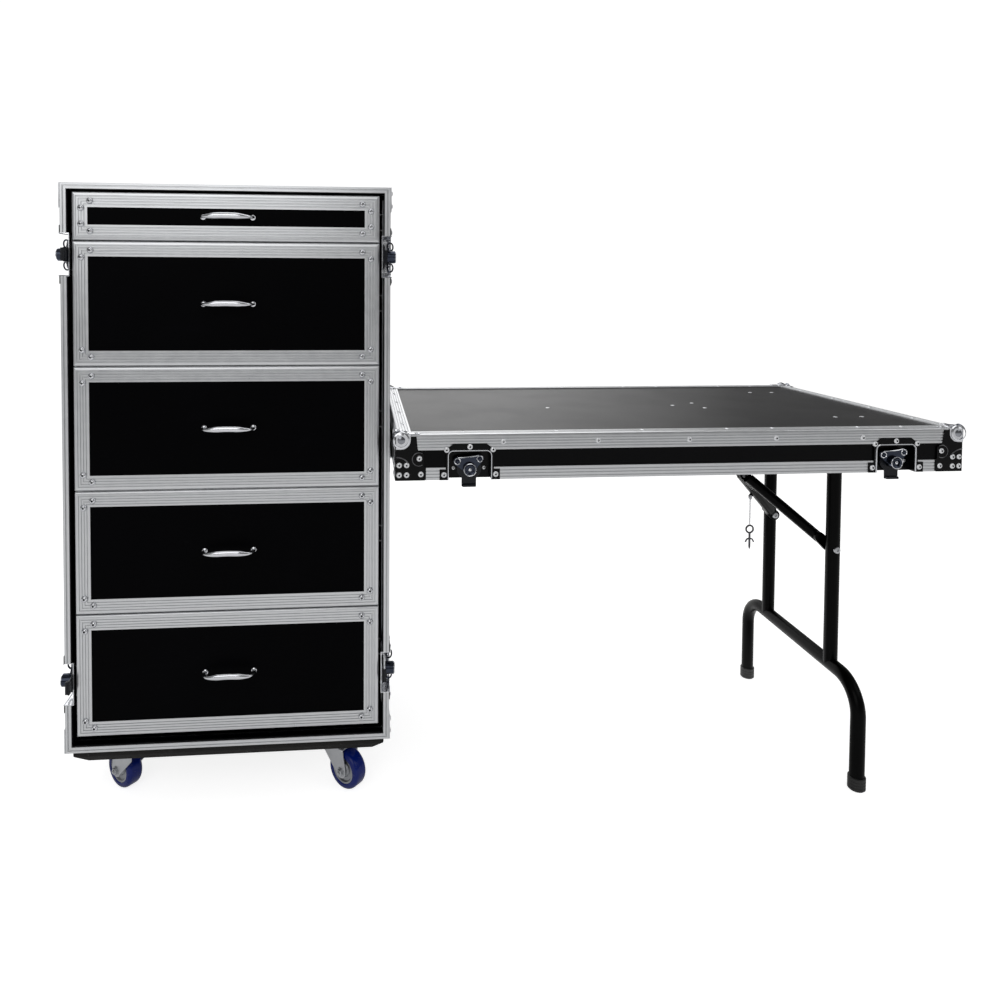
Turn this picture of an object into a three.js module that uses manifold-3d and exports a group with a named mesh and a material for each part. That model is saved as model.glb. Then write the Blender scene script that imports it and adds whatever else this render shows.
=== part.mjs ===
// Wheeled road case with five drawers. Its front lid hangs on its side as a work table with a folding leg.
// Millimetres, +Z up, +Y towards the back of the case, +X from the case towards the table's outer end.
// Pieces are laid out from the case's left front corner on the floor, and the finished group is then centred.
import * as THREE from 'three';
import { mergeVertices } from 'three/addons/utils/BufferGeometryUtils.js';
import Module from 'manifold-3d';

const wasm = await Module();
wasm.setup();

// Clearances
const gap = 0.3;            // between pieces that touch
const runningGap = 0.5;     // between pieces that move past each other
const overrun = 4;          // how far a cutting solid passes the face that it cuts

// Case body
const caseWidth = 600;
const caseDepth = 560;
const caseHeight = 1056;
const panelThickness = 9;
const angleLeg = 28;        // leg of the aluminium edging
const angleThickness = 1.5;
const rimWidth = 13;        // tongue extrusion round the front opening
const rimDepth = 22;
const rimTongueWidth = 5;
const rimLedge = 3;
const cornerPlateReach = 46;
const cornerPlateThickness = 2;
const ballRadius = 14;
const ballProud = 4.5;

// Dolly board and casters
const boardInset = 10;
const boardEdge = 13;
const boardChamfer = 21;
const wheelDiameter = 75;
const wheelWidth = 32;
const wheelEdgeRound = 8;
const hubDiameter = 46;
const hubRecess = 4;
const axleDiameter = 8;
const axleHeadDiameter = 14;
const axleHeadThickness = 4;
const forkSheet = 3;
const forkSideGap = 2.5;
const forkTopGap = 4;
const forkFoot = 11;        // half width of the fork leg at the axle
const forkTopFront = 24;
const forkTopBack = 20;
const raceDiameter = 50;
const raceHeight = 4;
const casterPlateLength = 95;
const casterPlateWidth = 70;
const casterPlateThickness = 4;
const casterTrail = 30;
const casterInsetX = 102;
const casterInsetY = 76;

// Drawers
const drawerCount = 5;
const shallowDrawerHeight = 88;
const drawerSpacing = 1.6;
const drawerStackBase = 29.6;
const drawerStackTop = 16;      // below the case's top
const drawerSideMargin = 20.3;  // from the case's side to a drawer's front
const drawerFrontThickness = 12;
const drawerFrontSetback = 1;
const drawerBoxDepth = 470;
const drawerBoxMargin = 26.5;   // from the case's side to a drawer's tray
const drawerWall = 9;
const drawerFloor = 6;
const drawerBoxDrop = 26;   // how much lower the tray's walls are than its front
const runnerHeight = 28;
const runnerThickness = 9;
const handleSpan = 82;
const handleRod = 8;
const handleReach = 26;
const handleFootDiameter = 14;
const handleFootThickness = 2.5;
const handleRise = 3;
const handleShoulderShare = 0.86;   // of the half span
const handleCrownShare = 1.25;      // of the rise

// Slide rack inside the case
const rackSheet = 2.5;
const rackPostWidth = 30;
const rackFrontSetback = 62;
const channelWall = 2;
const channelDepth = 9.2;

// Side handles
const dishLength = 150;
const dishHeight = 92;
const dishFlange = 11;
const dishSheet = 1.2;
const dishDepth = 8.6;
const sideHandleHeight = 399;
const gripRod = 6.5;
const gripSpan = 104;
const gripDrop = 52;
const gripEar = 9;
const gripEyeRise = 1;      // how far the grip's arms pass their hinge

// Butterfly latches
const latchInset = 130.5;   // from both ends of the mating edge
const latchPlateWidth = 108;
const latchPlateReach = 64;
const latchPlateThickness = 1.5;
const latchTubWidth = 77;
const latchTubReach = 54;
const latchTubDepth = 15;
const latchTubSheet = 1.2;
const latchPivotReach = 18;
const latchHubDiameter = 24;
const latchHubProud = 5;
const latchHubDepth = 8;
const latchPostDiameter = 10;
const latchPostBore = 11;
const wingTipReach = 16;
const wingTipSpread = 20;
const wingTipRadius = 6;
const wingPlateDepth = 3;
const wingPlateThickness = 2;
const wingLoopRod = 2.4;
const hookWidth = 27;
const hookReach = 31;
const hookThrow = 15;
const hookPlateDepth = 10.5;
const hookThickness = 3;
const hookLip = 5;
const hookSlotShare = 0.5;

// Lid used as a table
const tableHeight = 736;
const lidThickness = 81;
const lidRimHeight = 22;
const grooveWidth = 5;
const grooveDepth = 8;
const tableEndGap = 6;      // between the case's side and the lid's end
const tableForward = 118;   // how far the lid stands in front of the case
const shelfReach = 30;
const shelfDrop = 30;
const shelfThickness = 3;
const studDiameter = 4;
const studHeight = 6;
const studFrontInset = 30;  // from the shelf's ends
const studBackInset = 94;

// Folding leg
const legTube = 28;
const legFromEnd = 133;     // from the lid's outer end to the leg's pivot
const legPivotDrop = 62;    // below the table top
const legSpacing = 246;     // between the two uprights
const legTopSpan = 346;     // whole length of the top tube
const stretcherDrop = 530;  // below the table top
const footSpread = 93;      // how far a foot stands outside its upright
const footBend = 62;
const capDiameter = 33;
const capHeight = 26;
const capSolePad = 3;
const blockThickness = 10;
const blockWidth = 52;
const blockBase = 76;
const blockBaseThickness = 4;
const blockBaseDepth = 30;
const blockFromUpright = 43;    // between the middles of a block and the upright beside it

// Folding brace
const braceTube = 22;
const bracePivotDrop = 285; // below the table top
const braceFromPivot = 250; // from the leg to the brace's bracket
const braceBracketDrop = 50;
const braceArmLength = 185; // from the leg's bolt to the knee
const braceEyeThickness = 8;
const braceEyeDiameter = 24;
const eyeOverlap = 3;       // how far the flattened ends run into their tube
const kneeEarThickness = 5;
const kneeEarLength = 46;
const kneeRadius = 11;
const kneeTaper = 2;
const kneeTubeGap = 8;
const linkThickness = 8;
const linkWidth = 18;
const pinDiameter = 8;
const pinBore = 9;
const bracketBaseThickness = 3;
const bracketEarThickness = 3;
const bracketEarWidth = 24;
const bracketBarWidth = 20;
const bracketEarGap = 29;
const bracketLength = 76;
const bracketSpan = 84;

// Pin on a chain
const chainRod = 3;
const chainLength = 68;
const chainFromKnee = 79;   // from the knee's pin along the far arm to the chain's eye
const chainEyeRadius = 4;
const chainLug = 3;
const chainPivot = 3;
const chainCheek = 1;
const pinRingRadius = 10;
const pinStem = 37;
const pinStemDiameter = 5;
const pinProngStart = 14;   // below the ring
const pinProngSpan = 10;
const pinProngFall = 8;

// Facets of the round pieces
const wheelSides = 22;
const tubeSides = 12;
const smallSides = 8;
const bendSteps = 4;
const bowSteps = 12;
const footSteps = 16;

// Levels that several pieces share
const bodyBottom = boardEdge + boardChamfer + wheelDiameter + forkTopGap + forkSheet + raceHeight +
  casterPlateThickness;
const hullInset = angleThickness + gap;
const boardBottom = bodyBottom - boardEdge - boardChamfer;

// Finishes
const finishes = {
  laminate: [0x15161a, 0.55, 0],
  aluminium: [0xb9bcc0, 0.35, 0.9],
  chrome: [0xd5d8dc, 0.12, 1],
  zinc: [0xa9adae, 0.4, 0.85],
  blackSteel: [0x0c0c0e, 0.35, 0.3],
  plywood: [0xa98a60, 0.8, 0],
  boardPaint: [0x1d1d20, 0.9, 0],
  wheelBlue: [0x0f3f8c, 0.3, 0],
  steel: [0x8e9296, 0.35, 0.9],
};

const { Vector2, Vector3, Matrix4 } = THREE;

// A closed three.js geometry as a solid that can be joined and cut
function solid(geometry) {
  const bare = geometry.index ? geometry : geometry.clone();
  bare.deleteAttribute('normal');
  bare.deleteAttribute('uv');
  const merged = mergeVertices(bare);
  return new wasm.Manifold(new wasm.Mesh({
    numProp: 3,
    vertProperties: new Float32Array(merged.attributes.position.array),
    triVerts: new Uint32Array(merged.index.array),
  }));
}

function toGeometry(body) {
  const mesh = body.getMesh();
  const geometry = new THREE.BufferGeometry();
  geometry.setAttribute('position', new THREE.BufferAttribute(new Float32Array(mesh.vertProperties), 3));
  geometry.setIndex(new THREE.BufferAttribute(new Uint32Array(mesh.triVerts), 1));
  return geometry;
}

// Box between two corners
function box(x0, x1, y0, y1, z0, z1) {
  const geometry = new THREE.BoxGeometry(x1 - x0, y1 - y0, z1 - z0);
  geometry.translate((x0 + x1) / 2, (y0 + y1) / 2, (z0 + z1) / 2);
  return solid(geometry);
}

// Round rod along x, y or z through a centre
function rod(axis, diameter, length, x, y, z, sides = smallSides) {
  const geometry = new THREE.CylinderGeometry(diameter / 2, diameter / 2, length, sides);
  if (axis === 'x') geometry.rotateZ(Math.PI / 2);
  if (axis === 'z') geometry.rotateX(Math.PI / 2);
  geometry.translate(x, y, z);
  return solid(geometry);
}

// Round rod between two points
function strut(from, to, diameter, sides = smallSides) {
  const along = new Vector3().subVectors(to, from);
  const geometry = new THREE.CylinderGeometry(diameter / 2, diameter / 2, along.length(), sides);
  const turn = new THREE.Quaternion().setFromUnitVectors(new Vector3(0, 1, 0), along.clone().normalize());
  geometry.applyQuaternion(turn);
  const middle = new Vector3().addVectors(from, to).multiplyScalar(0.5);
  geometry.translate(middle.x, middle.y, middle.z);
  return solid(geometry);
}

// Rod that follows a curve, with flat ends
function bentRod(curve, diameter, steps, sides) {
  const section = new THREE.Shape();
  for (let i = 0; i < sides; i += 1) {
    const turn = (2 * Math.PI * i) / sides;
    const point = new Vector2(Math.cos(turn), Math.sin(turn)).multiplyScalar(diameter / 2);
    if (i === 0) section.moveTo(point.x, point.y);
    else section.lineTo(point.x, point.y);
  }
  return solid(new THREE.ExtrudeGeometry(section, { steps, bevelEnabled: false, extrudePath: curve }));
}

// Outline in the XZ plane, as a plate from y to y + thickness
function plateXZ(points, y, thickness) {
  const shape = new THREE.Shape(points.map(([x, z]) => new Vector2(x, z)));
  const geometry = new THREE.ExtrudeGeometry(shape, { depth: thickness, bevelEnabled: false });
  geometry.rotateX(Math.PI / 2);
  geometry.translate(0, y + thickness, 0);
  return solid(geometry);
}

// Points of an arc about a centre, from one angle to another, both in degrees
function arc(cx, cz, radius, from, to, steps) {
  const points = [];
  for (let i = 0; i <= steps; i += 1) {
    const turn = THREE.MathUtils.degToRad(from + ((to - from) * i) / steps);
    points.push([cx + radius * Math.cos(turn), cz + radius * Math.sin(turn)]);
  }
  return points;
}

const join = (...bodies) => bodies.reduce((sum, body) => sum.add(body));
const cut = (body, ...tools) => tools.reduce((rest, tool) => rest.subtract(tool), body);
const placed = (body, matrix) => solid(toGeometry(body).applyMatrix4(matrix));

const model = new THREE.Group();

function piece(name, body, finish, parent = model) {
  const [color, roughness, metalness] = finishes[finish];
  const material = new THREE.MeshStandardMaterial({ color, roughness, metalness });
  const mesh = new THREE.Mesh(toGeometry(body), material);
  mesh.name = name;
  parent.add(mesh);
  return mesh;
}

// Frame of a latch: u along the mating edge, p away from that edge into the body, w into the face
function latchFrame(u, p, w, x, y, z) {
  const basis = new Matrix4().makeBasis(new Vector3(...u), new Vector3(...p), new Vector3(...w));
  return basis.setPosition(x, y, z);
}

// Dish of a latch: face plate with a tub behind it that is open at the mating edge
function latchDish() {
  const half = latchTubWidth / 2 + latchTubSheet;
  return join(
    box(-half, half, 0, latchTubReach + latchTubSheet, -latchPlateThickness, latchTubDepth + latchTubSheet),
    box(-latchPlateWidth / 2, latchPlateWidth / 2, 0, latchPlateReach, -latchPlateThickness, 0),
  );
}

function latchHollow() {
  const half = latchTubWidth / 2;
  const post = rod('z', latchPostDiameter, latchTubDepth - wingPlateDepth, 0, latchPivotReach,
    (latchTubDepth + wingPlateDepth) / 2);
  return cut(
    box(-half, half, -overrun, latchTubReach, -latchPlateThickness - overrun, latchTubDepth), post);
}

// Room that the dish needs in the board behind the edging
function latchRoom() {
  const half = latchTubWidth / 2 + latchTubSheet + gap;
  return box(-half, half, -overrun, latchTubReach + latchTubSheet + gap, -overrun,
    latchTubDepth + latchTubSheet + gap);
}

// Turning wing: hub and bow-tie plate, some with finger rings, hollow behind for the dish's post
function latchWing(raised) {
  const hub = rod('z', latchHubDiameter, latchHubProud + latchHubDepth, 0, latchPivotReach,
    (latchHubDepth - latchHubProud) / 2, tubeSides);
  const tipP = latchPivotReach + wingTipReach;
  const shapes = [hub];
  for (const tipU of [-wingTipSpread, wingTipSpread]) {
    shapes.push(rod('z', 2 * wingTipRadius, wingPlateThickness, tipU, tipP,
      wingPlateDepth + wingPlateThickness / 2));
    const outline = new THREE.Shape([
      new Vector2(0, latchPivotReach - wingTipRadius),
      new Vector2(tipU, tipP - wingTipRadius),
      new Vector2(tipU, tipP + wingTipRadius),
      new Vector2(0, latchPivotReach + latchHubDiameter / 2),
    ]);
    const web = new THREE.ExtrudeGeometry(outline, { depth: wingPlateThickness, bevelEnabled: false });
    web.translate(0, 0, wingPlateDepth);
    shapes.push(solid(web));
    if (raised) shapes.push(fingerRing(tipU, tipP));
  }
  const bore = rod('z', latchPostBore, latchHubDepth, 0, latchPivotReach,
    wingPlateDepth - gap + latchHubDepth / 2);
  return cut(join(...shapes), bore);
}

function fingerRing(u, p) {
  const rod = wingLoopRod / 2;
  const ring = new THREE.TorusGeometry(wingTipRadius - rod, rod, smallSides / 2, smallSides);
  ring.rotateX(Math.PI / 2);
  ring.translate(u, p, wingPlateDepth - wingTipRadius + wingLoopRod);
  return solid(ring);
}

// Sliding hook behind the wing, slotted for the post, with a lip that grips the other half of the case
function latchHook() {
  const half = hookWidth / 2;
  const back = hookPlateDepth + hookThickness;
  const slot = latchPostBore / 2;
  return cut(
    join(
      box(-half, half, -hookThrow, hookReach, hookPlateDepth, back),
      box(-half, half, -hookThrow, hookLip * hookSlotShare - hookThrow, hookPlateDepth - hookLip, back)),
    box(-slot, slot, latchPivotReach - slot - hookThrow * hookSlotShare, latchPivotReach + slot + runningGap,
      hookPlateDepth - overrun, back + overrun));
}

// Case carcass: five laminated panels
const left = hullInset;
const right = caseWidth - hullInset;
const front = rimDepth + gap;
const back = caseDepth - hullInset;
const low = bodyBottom + hullInset;
const high = bodyBottom + caseHeight - hullInset;
const innerLeft = left + panelThickness;
const innerRight = right - panelThickness;
const lidLeft = caseWidth + tableEndGap;
const lidRight = lidLeft + caseHeight;
const lidNear = -tableForward;
const lidFar = lidNear + caseWidth;
const lidBottom = tableHeight - lidThickness;
const caseLatchHeights = [bodyBottom + latchInset, bodyBottom + caseHeight - latchInset];

const caseLatches = [];
caseLatchHeights.forEach((height, i) => {
  const level = i === 0 ? 'lower' : 'upper';
  caseLatches.push({ name: `case_${level}_left`, side: 'left', hooked: true, raised: true,
    frame: latchFrame([0, 0, -1], [0, 1, 0], [1, 0, 0], 0, 0, height) });
  caseLatches.push({ name: `case_${level}_right`, side: 'right', hooked: true, raised: true,
    frame: latchFrame([0, 0, 1], [0, 1, 0], [-1, 0, 0], caseWidth, 0, height) });
});
const lidLatches = [];
[lidLeft + latchInset, lidRight - latchInset].forEach((x, i) => {
  const end = i === 0 ? 'inner' : 'outer';
  lidLatches.push({ name: `lid_near_${end}`, hooked: true, raised: false,
    frame: latchFrame([-1, 0, 0], [0, 0, 1], [0, 1, 0], x, lidNear, lidBottom) });
  lidLatches.push({ name: `lid_far_${end}`, hooked: false, raised: false,
    frame: latchFrame([1, 0, 0], [0, 0, 1], [0, -1, 0], x, lidFar, lidBottom) });
});

const handleY = caseDepth / 2;
const handleZ = bodyBottom + sideHandleHeight;

function sidePanel(side) {
  const [x0, x1] = side === 'left' ? [left, innerLeft] : [innerRight, right];
  const rooms = caseLatches.filter((latch) => latch.side === side)
    .map((latch) => placed(latchRoom(), latch.frame));
  const dishRoom = box(x0 - overrun, x1 + overrun,
    handleY - dishLength / 2 - gap, handleY + dishLength / 2 + gap,
    handleZ - dishHeight / 2 - gap, handleZ + dishHeight / 2 + gap);
  return cut(box(x0, x1, front, back, low, high), ...rooms, dishRoom);
}

piece('case_left_panel', sidePanel('left'), 'laminate');
piece('case_right_panel', sidePanel('right'), 'laminate');
piece('case_bottom_panel',
  box(innerLeft + gap, innerRight - gap, front, back, low, low + panelThickness), 'laminate');
piece('case_top_panel',
  box(innerLeft + gap, innerRight - gap, front, back, high - panelThickness, high), 'laminate');
piece('case_back_panel', box(innerLeft + gap, innerRight - gap, back - panelThickness, back,
  low + panelThickness + gap, high - panelThickness - gap), 'laminate');

// Front rim: tongue extrusion with the latch dishes and corner plates riveted to it
function frontRim() {
  const top = bodyBottom + caseHeight;
  const ring = cut(
    box(0, caseWidth, 0, rimDepth, bodyBottom, top),
    box(rimWidth, caseWidth - rimWidth, -overrun, rimDepth + overrun,
      bodyBottom + rimWidth, top - rimWidth),
    box(rimWidth - rimTongueWidth, caseWidth - rimWidth + rimTongueWidth, -overrun, rimLedge,
      bodyBottom + rimWidth - rimTongueWidth, top - rimWidth + rimTongueWidth));
  const plates = [];
  for (const z of [bodyBottom, top - cornerPlateReach]) {
    plates.push(box(-cornerPlateThickness, 0, 0, rimDepth, z, z + cornerPlateReach));
    plates.push(box(caseWidth, caseWidth + cornerPlateThickness, 0, rimDepth, z, z + cornerPlateReach));
  }
  const body = join(ring, ...plates, ...caseLatches.map((latch) => placed(latchDish(), latch.frame)));
  return cut(body, ...caseLatches.map((latch) => placed(latchHollow(), latch.frame)));
}
piece('front_rim', frontRim(), 'aluminium');

// Ball corner on a box corner, where the box faces point along the three signs
function ball(x, y, z, sx, sy, sz) {
  const inset = ballRadius - ballProud;
  return solid(new THREE.SphereGeometry(ballRadius, tubeSides, tubeSides / 2)
    .translate(x - sx * inset, y - sy * inset, z - sz * inset));
}

// Edge angles along the depth and round the back, their ball corners, and the shelf that carries the lid
function edgeAngles() {
  const bottom = bodyBottom;
  const top = bodyBottom + caseHeight;
  const start = front;
  const windowBack = caseDepth - angleLeg;
  const balls = [];
  for (const [x, sx] of [[0, -1], [caseWidth, 1]]) {
    for (const [z, sz] of [[bottom, -1], [top, 1]]) balls.push(ball(x, caseDepth, z, sx, 1, sz));
  }
  const t = angleThickness;
  const shell = cut(
    join(box(0, caseWidth, start, caseDepth, bottom, top), ...balls),
    box(t, caseWidth - t, start - overrun, caseDepth - t, bottom + t, top - t),
    box(-overrun, caseWidth + overrun, start - overrun, windowBack, bottom + angleLeg, top - angleLeg),
    box(angleLeg, caseWidth - angleLeg, start - overrun, windowBack, bottom - overrun, top + overrun),
    box(angleLeg, caseWidth - angleLeg, windowBack - overrun, caseDepth + overrun,
      bottom + angleLeg, top - angleLeg),
    box(-ballRadius, caseWidth + ballRadius, windowBack, caseDepth + ballRadius,
      bottom - ballRadius, bottom));
  const shelfTop = lidBottom - gap;
  const shelfBack = windowBack + angleLeg / 2;
  const shelfFront = latchPlateReach + overrun;
  const shelf = join(
    box(caseWidth - t, caseWidth + shelfReach, shelfFront, shelfBack, shelfTop - shelfThickness, shelfTop),
    box(caseWidth - t, caseWidth + t, shelfFront, shelfBack, shelfTop - shelfDrop, shelfTop));
  const studX = lidLeft + rimWidth / 2;
  const studZ = shelfTop + (studHeight - shelfThickness) / 2;
  const studs = [shelfFront + studFrontInset, shelfBack - studBackInset].map((y) => rod('z', studDiameter,
    studHeight + shelfThickness, studX, y, studZ));
  return join(shell, shelf, ...studs);
}
piece('edge_angles', edgeAngles(), 'aluminium');

// Dolly board, chamfered underneath, with the four caster plates
function dollyBoard() {
  const top = bodyBottom - gap;
  const x0 = boardInset;
  const x1 = caseWidth - boardInset;
  const y0 = boardInset;
  const y1 = caseDepth - boardInset;
  const mid = boardBottom + boardChamfer;
  const outline = (a, b) => [
    [a, top], [a, mid], [a + boardChamfer, boardBottom],
    [b - boardChamfer, boardBottom], [b, mid], [b, top],
  ];
  const across = plateXZ(outline(x0, x1), y0, y1 - y0);
  const quarter = new Matrix4().makeRotationZ(Math.PI / 2).setPosition(x1, 0, 0);
  const along = placed(plateXZ(outline(y0, y1), 0, x1 - x0), quarter);
  let board = across.intersect(along);
  for (const [x, y] of casterPlaces.map((place) => place.at)) {
    const plateBottom = boardBottom - casterPlateThickness;
    board = join(board,
      box(x - casterPlateLength / 2, x + casterPlateLength / 2,
        y - casterPlateWidth / 2, y + casterPlateWidth / 2, plateBottom, boardBottom + gap),
      rod('z', raceDiameter, raceHeight, x, y, plateBottom - raceHeight / 2 + gap, wheelSides / 2));
  }
  return board;
}

// Casters, each turned about its swivel: the trail points along its angle
const casterPlaces = [
  { name: 'front_left', at: [casterInsetX, casterInsetY], turn: 140 },
  { name: 'front_right', at: [caseWidth - casterInsetX, casterInsetY], turn: -42 },
  { name: 'rear_left', at: [casterInsetX, caseDepth - casterInsetY], turn: 118 },
  { name: 'rear_right', at: [caseWidth - casterInsetX, caseDepth - casterInsetY], turn: 70 },
];
piece('dolly_board', dollyBoard(), 'boardPaint');

function casterFork() {
  const axleZ = wheelDiameter / 2;
  const crown = wheelDiameter + forkTopGap;
  const inner = wheelWidth / 2 + forkSideGap;
  const outline = [
    ...arc(casterTrail, axleZ, forkFoot, 200, 360, bendSteps),
    [forkTopFront + casterTrail / 2, crown + forkSheet],
    [-forkTopBack, crown + forkSheet],
    [-forkTopBack, crown - forkSheet],
  ];
  const race = rod('z', raceDiameter, forkSheet, 0, 0, crown + forkSheet / 2, wheelSides / 2);
  const deck = box(-forkTopBack, forkTopFront + casterTrail / 2, -inner, inner, crown, crown + forkSheet);
  const length = 2 * (inner + forkSheet);
  const headMiddle = inner + forkSheet + axleHeadThickness / 2 - gap;
  return join(
    plateXZ(outline, inner, forkSheet), plateXZ(outline, -inner - forkSheet, forkSheet), deck, race,
    rod('y', axleDiameter, length, casterTrail, 0, axleZ),
    rod('y', axleHeadDiameter, axleHeadThickness, casterTrail, headMiddle, axleZ, bendSteps),
    rod('y', axleHeadDiameter, axleHeadThickness, casterTrail, -headMiddle, axleZ, bendSteps));
}

function casterWheel() {
  const r = wheelDiameter / 2;
  const half = wheelWidth / 2;
  const bore = axleDiameter / 2 + gap;
  const round = wheelEdgeRound;
  const chord = round * (1 - Math.SQRT1_2);
  const profile = [
    [bore, -half], [hubDiameter / 4, -half], [hubDiameter / 2, -half + hubRecess],
    [r - round, -half], [r - chord, -half + chord], [r, -half + round],
    [r, half - round], [r - chord, half - chord], [r - round, half],
    [hubDiameter / 2, half - hubRecess], [hubDiameter / 4, half], [bore, half], [bore, -half],
  ].map(([x, y]) => new Vector2(x, y));
  const geometry = new THREE.LatheGeometry(profile, wheelSides, 0, 2 * Math.PI);
  geometry.translate(casterTrail, 0, r);
  return solid(geometry);
}

for (const place of casterPlaces) {
  const caster = new THREE.Group();
  caster.position.set(place.at[0], place.at[1], 0);
  caster.rotation.z = THREE.MathUtils.degToRad(place.turn);
  model.add(caster);
  piece(`caster_fork_${place.name}`, casterFork(), 'zinc', caster);
  piece(`caster_wheel_${place.name}`, casterWheel(), 'wheelBlue', caster);
}

// Drawers, from the top down: a glued tray with its front board, the edging round the front, a bow handle
function drawerRows() {
  const stack = caseHeight - drawerStackBase - drawerStackTop - shallowDrawerHeight;
  const deepDrawerHeight = stack / (drawerCount - 1) - drawerSpacing;
  const rows = [];
  let base = bodyBottom + drawerStackBase;
  for (let i = drawerCount; i >= 1; i -= 1) {
    const height = i === 1 ? shallowDrawerHeight : deepDrawerHeight;
    rows.unshift({ number: i, base, height });
    base += height + drawerSpacing;
  }
  return rows;
}
const rows = drawerRows();
const frontLeft = drawerSideMargin;
const frontRight = caseWidth - drawerSideMargin;
const boxLeft = drawerBoxMargin;
const boxRight = caseWidth - drawerBoxMargin;
const boardFace = drawerFrontSetback + hullInset;

function drawerBox({ base, height }) {
  const boardBack = boardFace + drawerFrontThickness;
  const trayBack = boardBack + drawerBoxDepth;
  const trayBottom = base + angleLeg / 2;
  const trayTop = base + height - drawerBoxDrop;
  const middle = base + height / 2;
  const runner = (x0, x1) => box(x0, x1, boardBack + rackFrontSetback, trayBack,
    middle - runnerHeight / 2, middle + runnerHeight / 2);
  const tray = cut(
    box(boxLeft, boxRight, boardBack - gap, trayBack, trayBottom, trayTop),
    box(boxLeft + drawerWall, boxRight - drawerWall, boardBack, trayBack - drawerWall,
      trayBottom + drawerFloor, trayTop + overrun));
  return join(
    tray,
    box(frontLeft + hullInset, frontRight - hullInset, boardFace, boardBack, base + hullInset,
      base + height - hullInset),
    runner(boxLeft - runnerThickness, boxLeft + gap), runner(boxRight - gap, boxRight + runnerThickness));
}

function drawerFrame({ base, height }) {
  const y0 = drawerFrontSetback;
  const top = base + height;
  const t = angleThickness;
  return cut(
    box(frontLeft, frontRight, y0, boardFace + drawerFrontThickness, base, top),
    box(frontLeft + t, frontRight - t, y0 + t, boardFace + drawerFrontThickness + overrun, base + t, top - t),
    box(frontLeft + angleLeg, frontRight - angleLeg, y0 - overrun, y0 + t + overrun,
      base + angleLeg, top - angleLeg));
}

// Bow handle: the rod leaves each foot square to the front, bends and crosses with a slight rise
function drawerHandle({ base, height }) {
  const z = base + height / 2;
  const x = caseWidth / 2;
  const half = handleSpan / 2;
  const root = boardFace - gap;
  const out = root - handleReach;
  const side = [
    [half, root, 0], [half, root - handleReach / 2, 0], [half * handleShoulderShare, out + handleRod / 2, 0],
    [half / 2, out, handleRise],
  ];
  const mirrored = side.map(([dx, y, dz]) => [-dx, y, dz]);
  const points = [...mirrored, [0, out, handleRise * handleCrownShare], ...side.reverse()]
    .map(([dx, y, dz]) => new Vector3(x + dx, y, z + dz));
  const curve = new THREE.CatmullRomCurve3(points, false, 'centripetal');
  const bow = bentRod(curve, handleRod, bowSteps, smallSides);
  const feet = [-half, half].map((dx) => rod('y', handleFootDiameter, handleFootThickness, x + dx,
    root - handleFootThickness / 2, z, tubeSides));
  return join(bow, ...feet);
}

for (const row of rows) {
  piece(`drawer_${row.number}_box`, drawerBox(row), 'laminate');
  piece(`drawer_${row.number}_frame`, drawerFrame(row), 'aluminium');
  piece(`drawer_${row.number}_handle`, drawerHandle(row), 'chrome');
}

// Slide rack: a welded frame of four posts and two cross rails, with a channel for each drawer's runners
function slideRack() {
  const y0 = boardFace + drawerFrontThickness + rackFrontSetback;
  const y1 = boardFace + drawerFrontThickness + drawerBoxDepth + runningGap;
  const y2 = y1 + rackPostWidth;
  const rackLow = rows[drawerCount - 1].base;
  const rackHigh = rows[0].base + rows[0].height;
  const rail = (z) => box(innerLeft + gap, innerRight - gap, y2 - rackSheet, y2, z, z + rackPostWidth);
  const sides = [[innerLeft + gap, 1], [innerRight - gap, -1]].flatMap(([wall, dir]) => {
    const slab = (from, to, a, b, z0, z1) => box(Math.min(wall + dir * from, wall + dir * to),
      Math.max(wall + dir * from, wall + dir * to), a, b, z0, z1);
    const channels = rows.map((row) => {
      const middle = row.base + row.height / 2;
      const room = runnerHeight / 2 + runningGap;
      return cut(
        slab(0, rackSheet + channelDepth, y0, y2, middle - room - channelWall, middle + room + channelWall),
        slab(rackSheet, rackSheet + channelDepth + overrun, y0 - overrun, y1, middle - room, middle + room));
    });
    return [
      slab(0, rackSheet, y0, y0 + rackPostWidth, rackLow, rackHigh),
      slab(0, rackSheet, y1, y2, rackLow, rackHigh), ...channels];
  });
  return join(...sides, rail(rackLow), rail(rackHigh - rackPostWidth));
}
piece('slide_rack', slideRack(), 'zinc');

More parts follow.
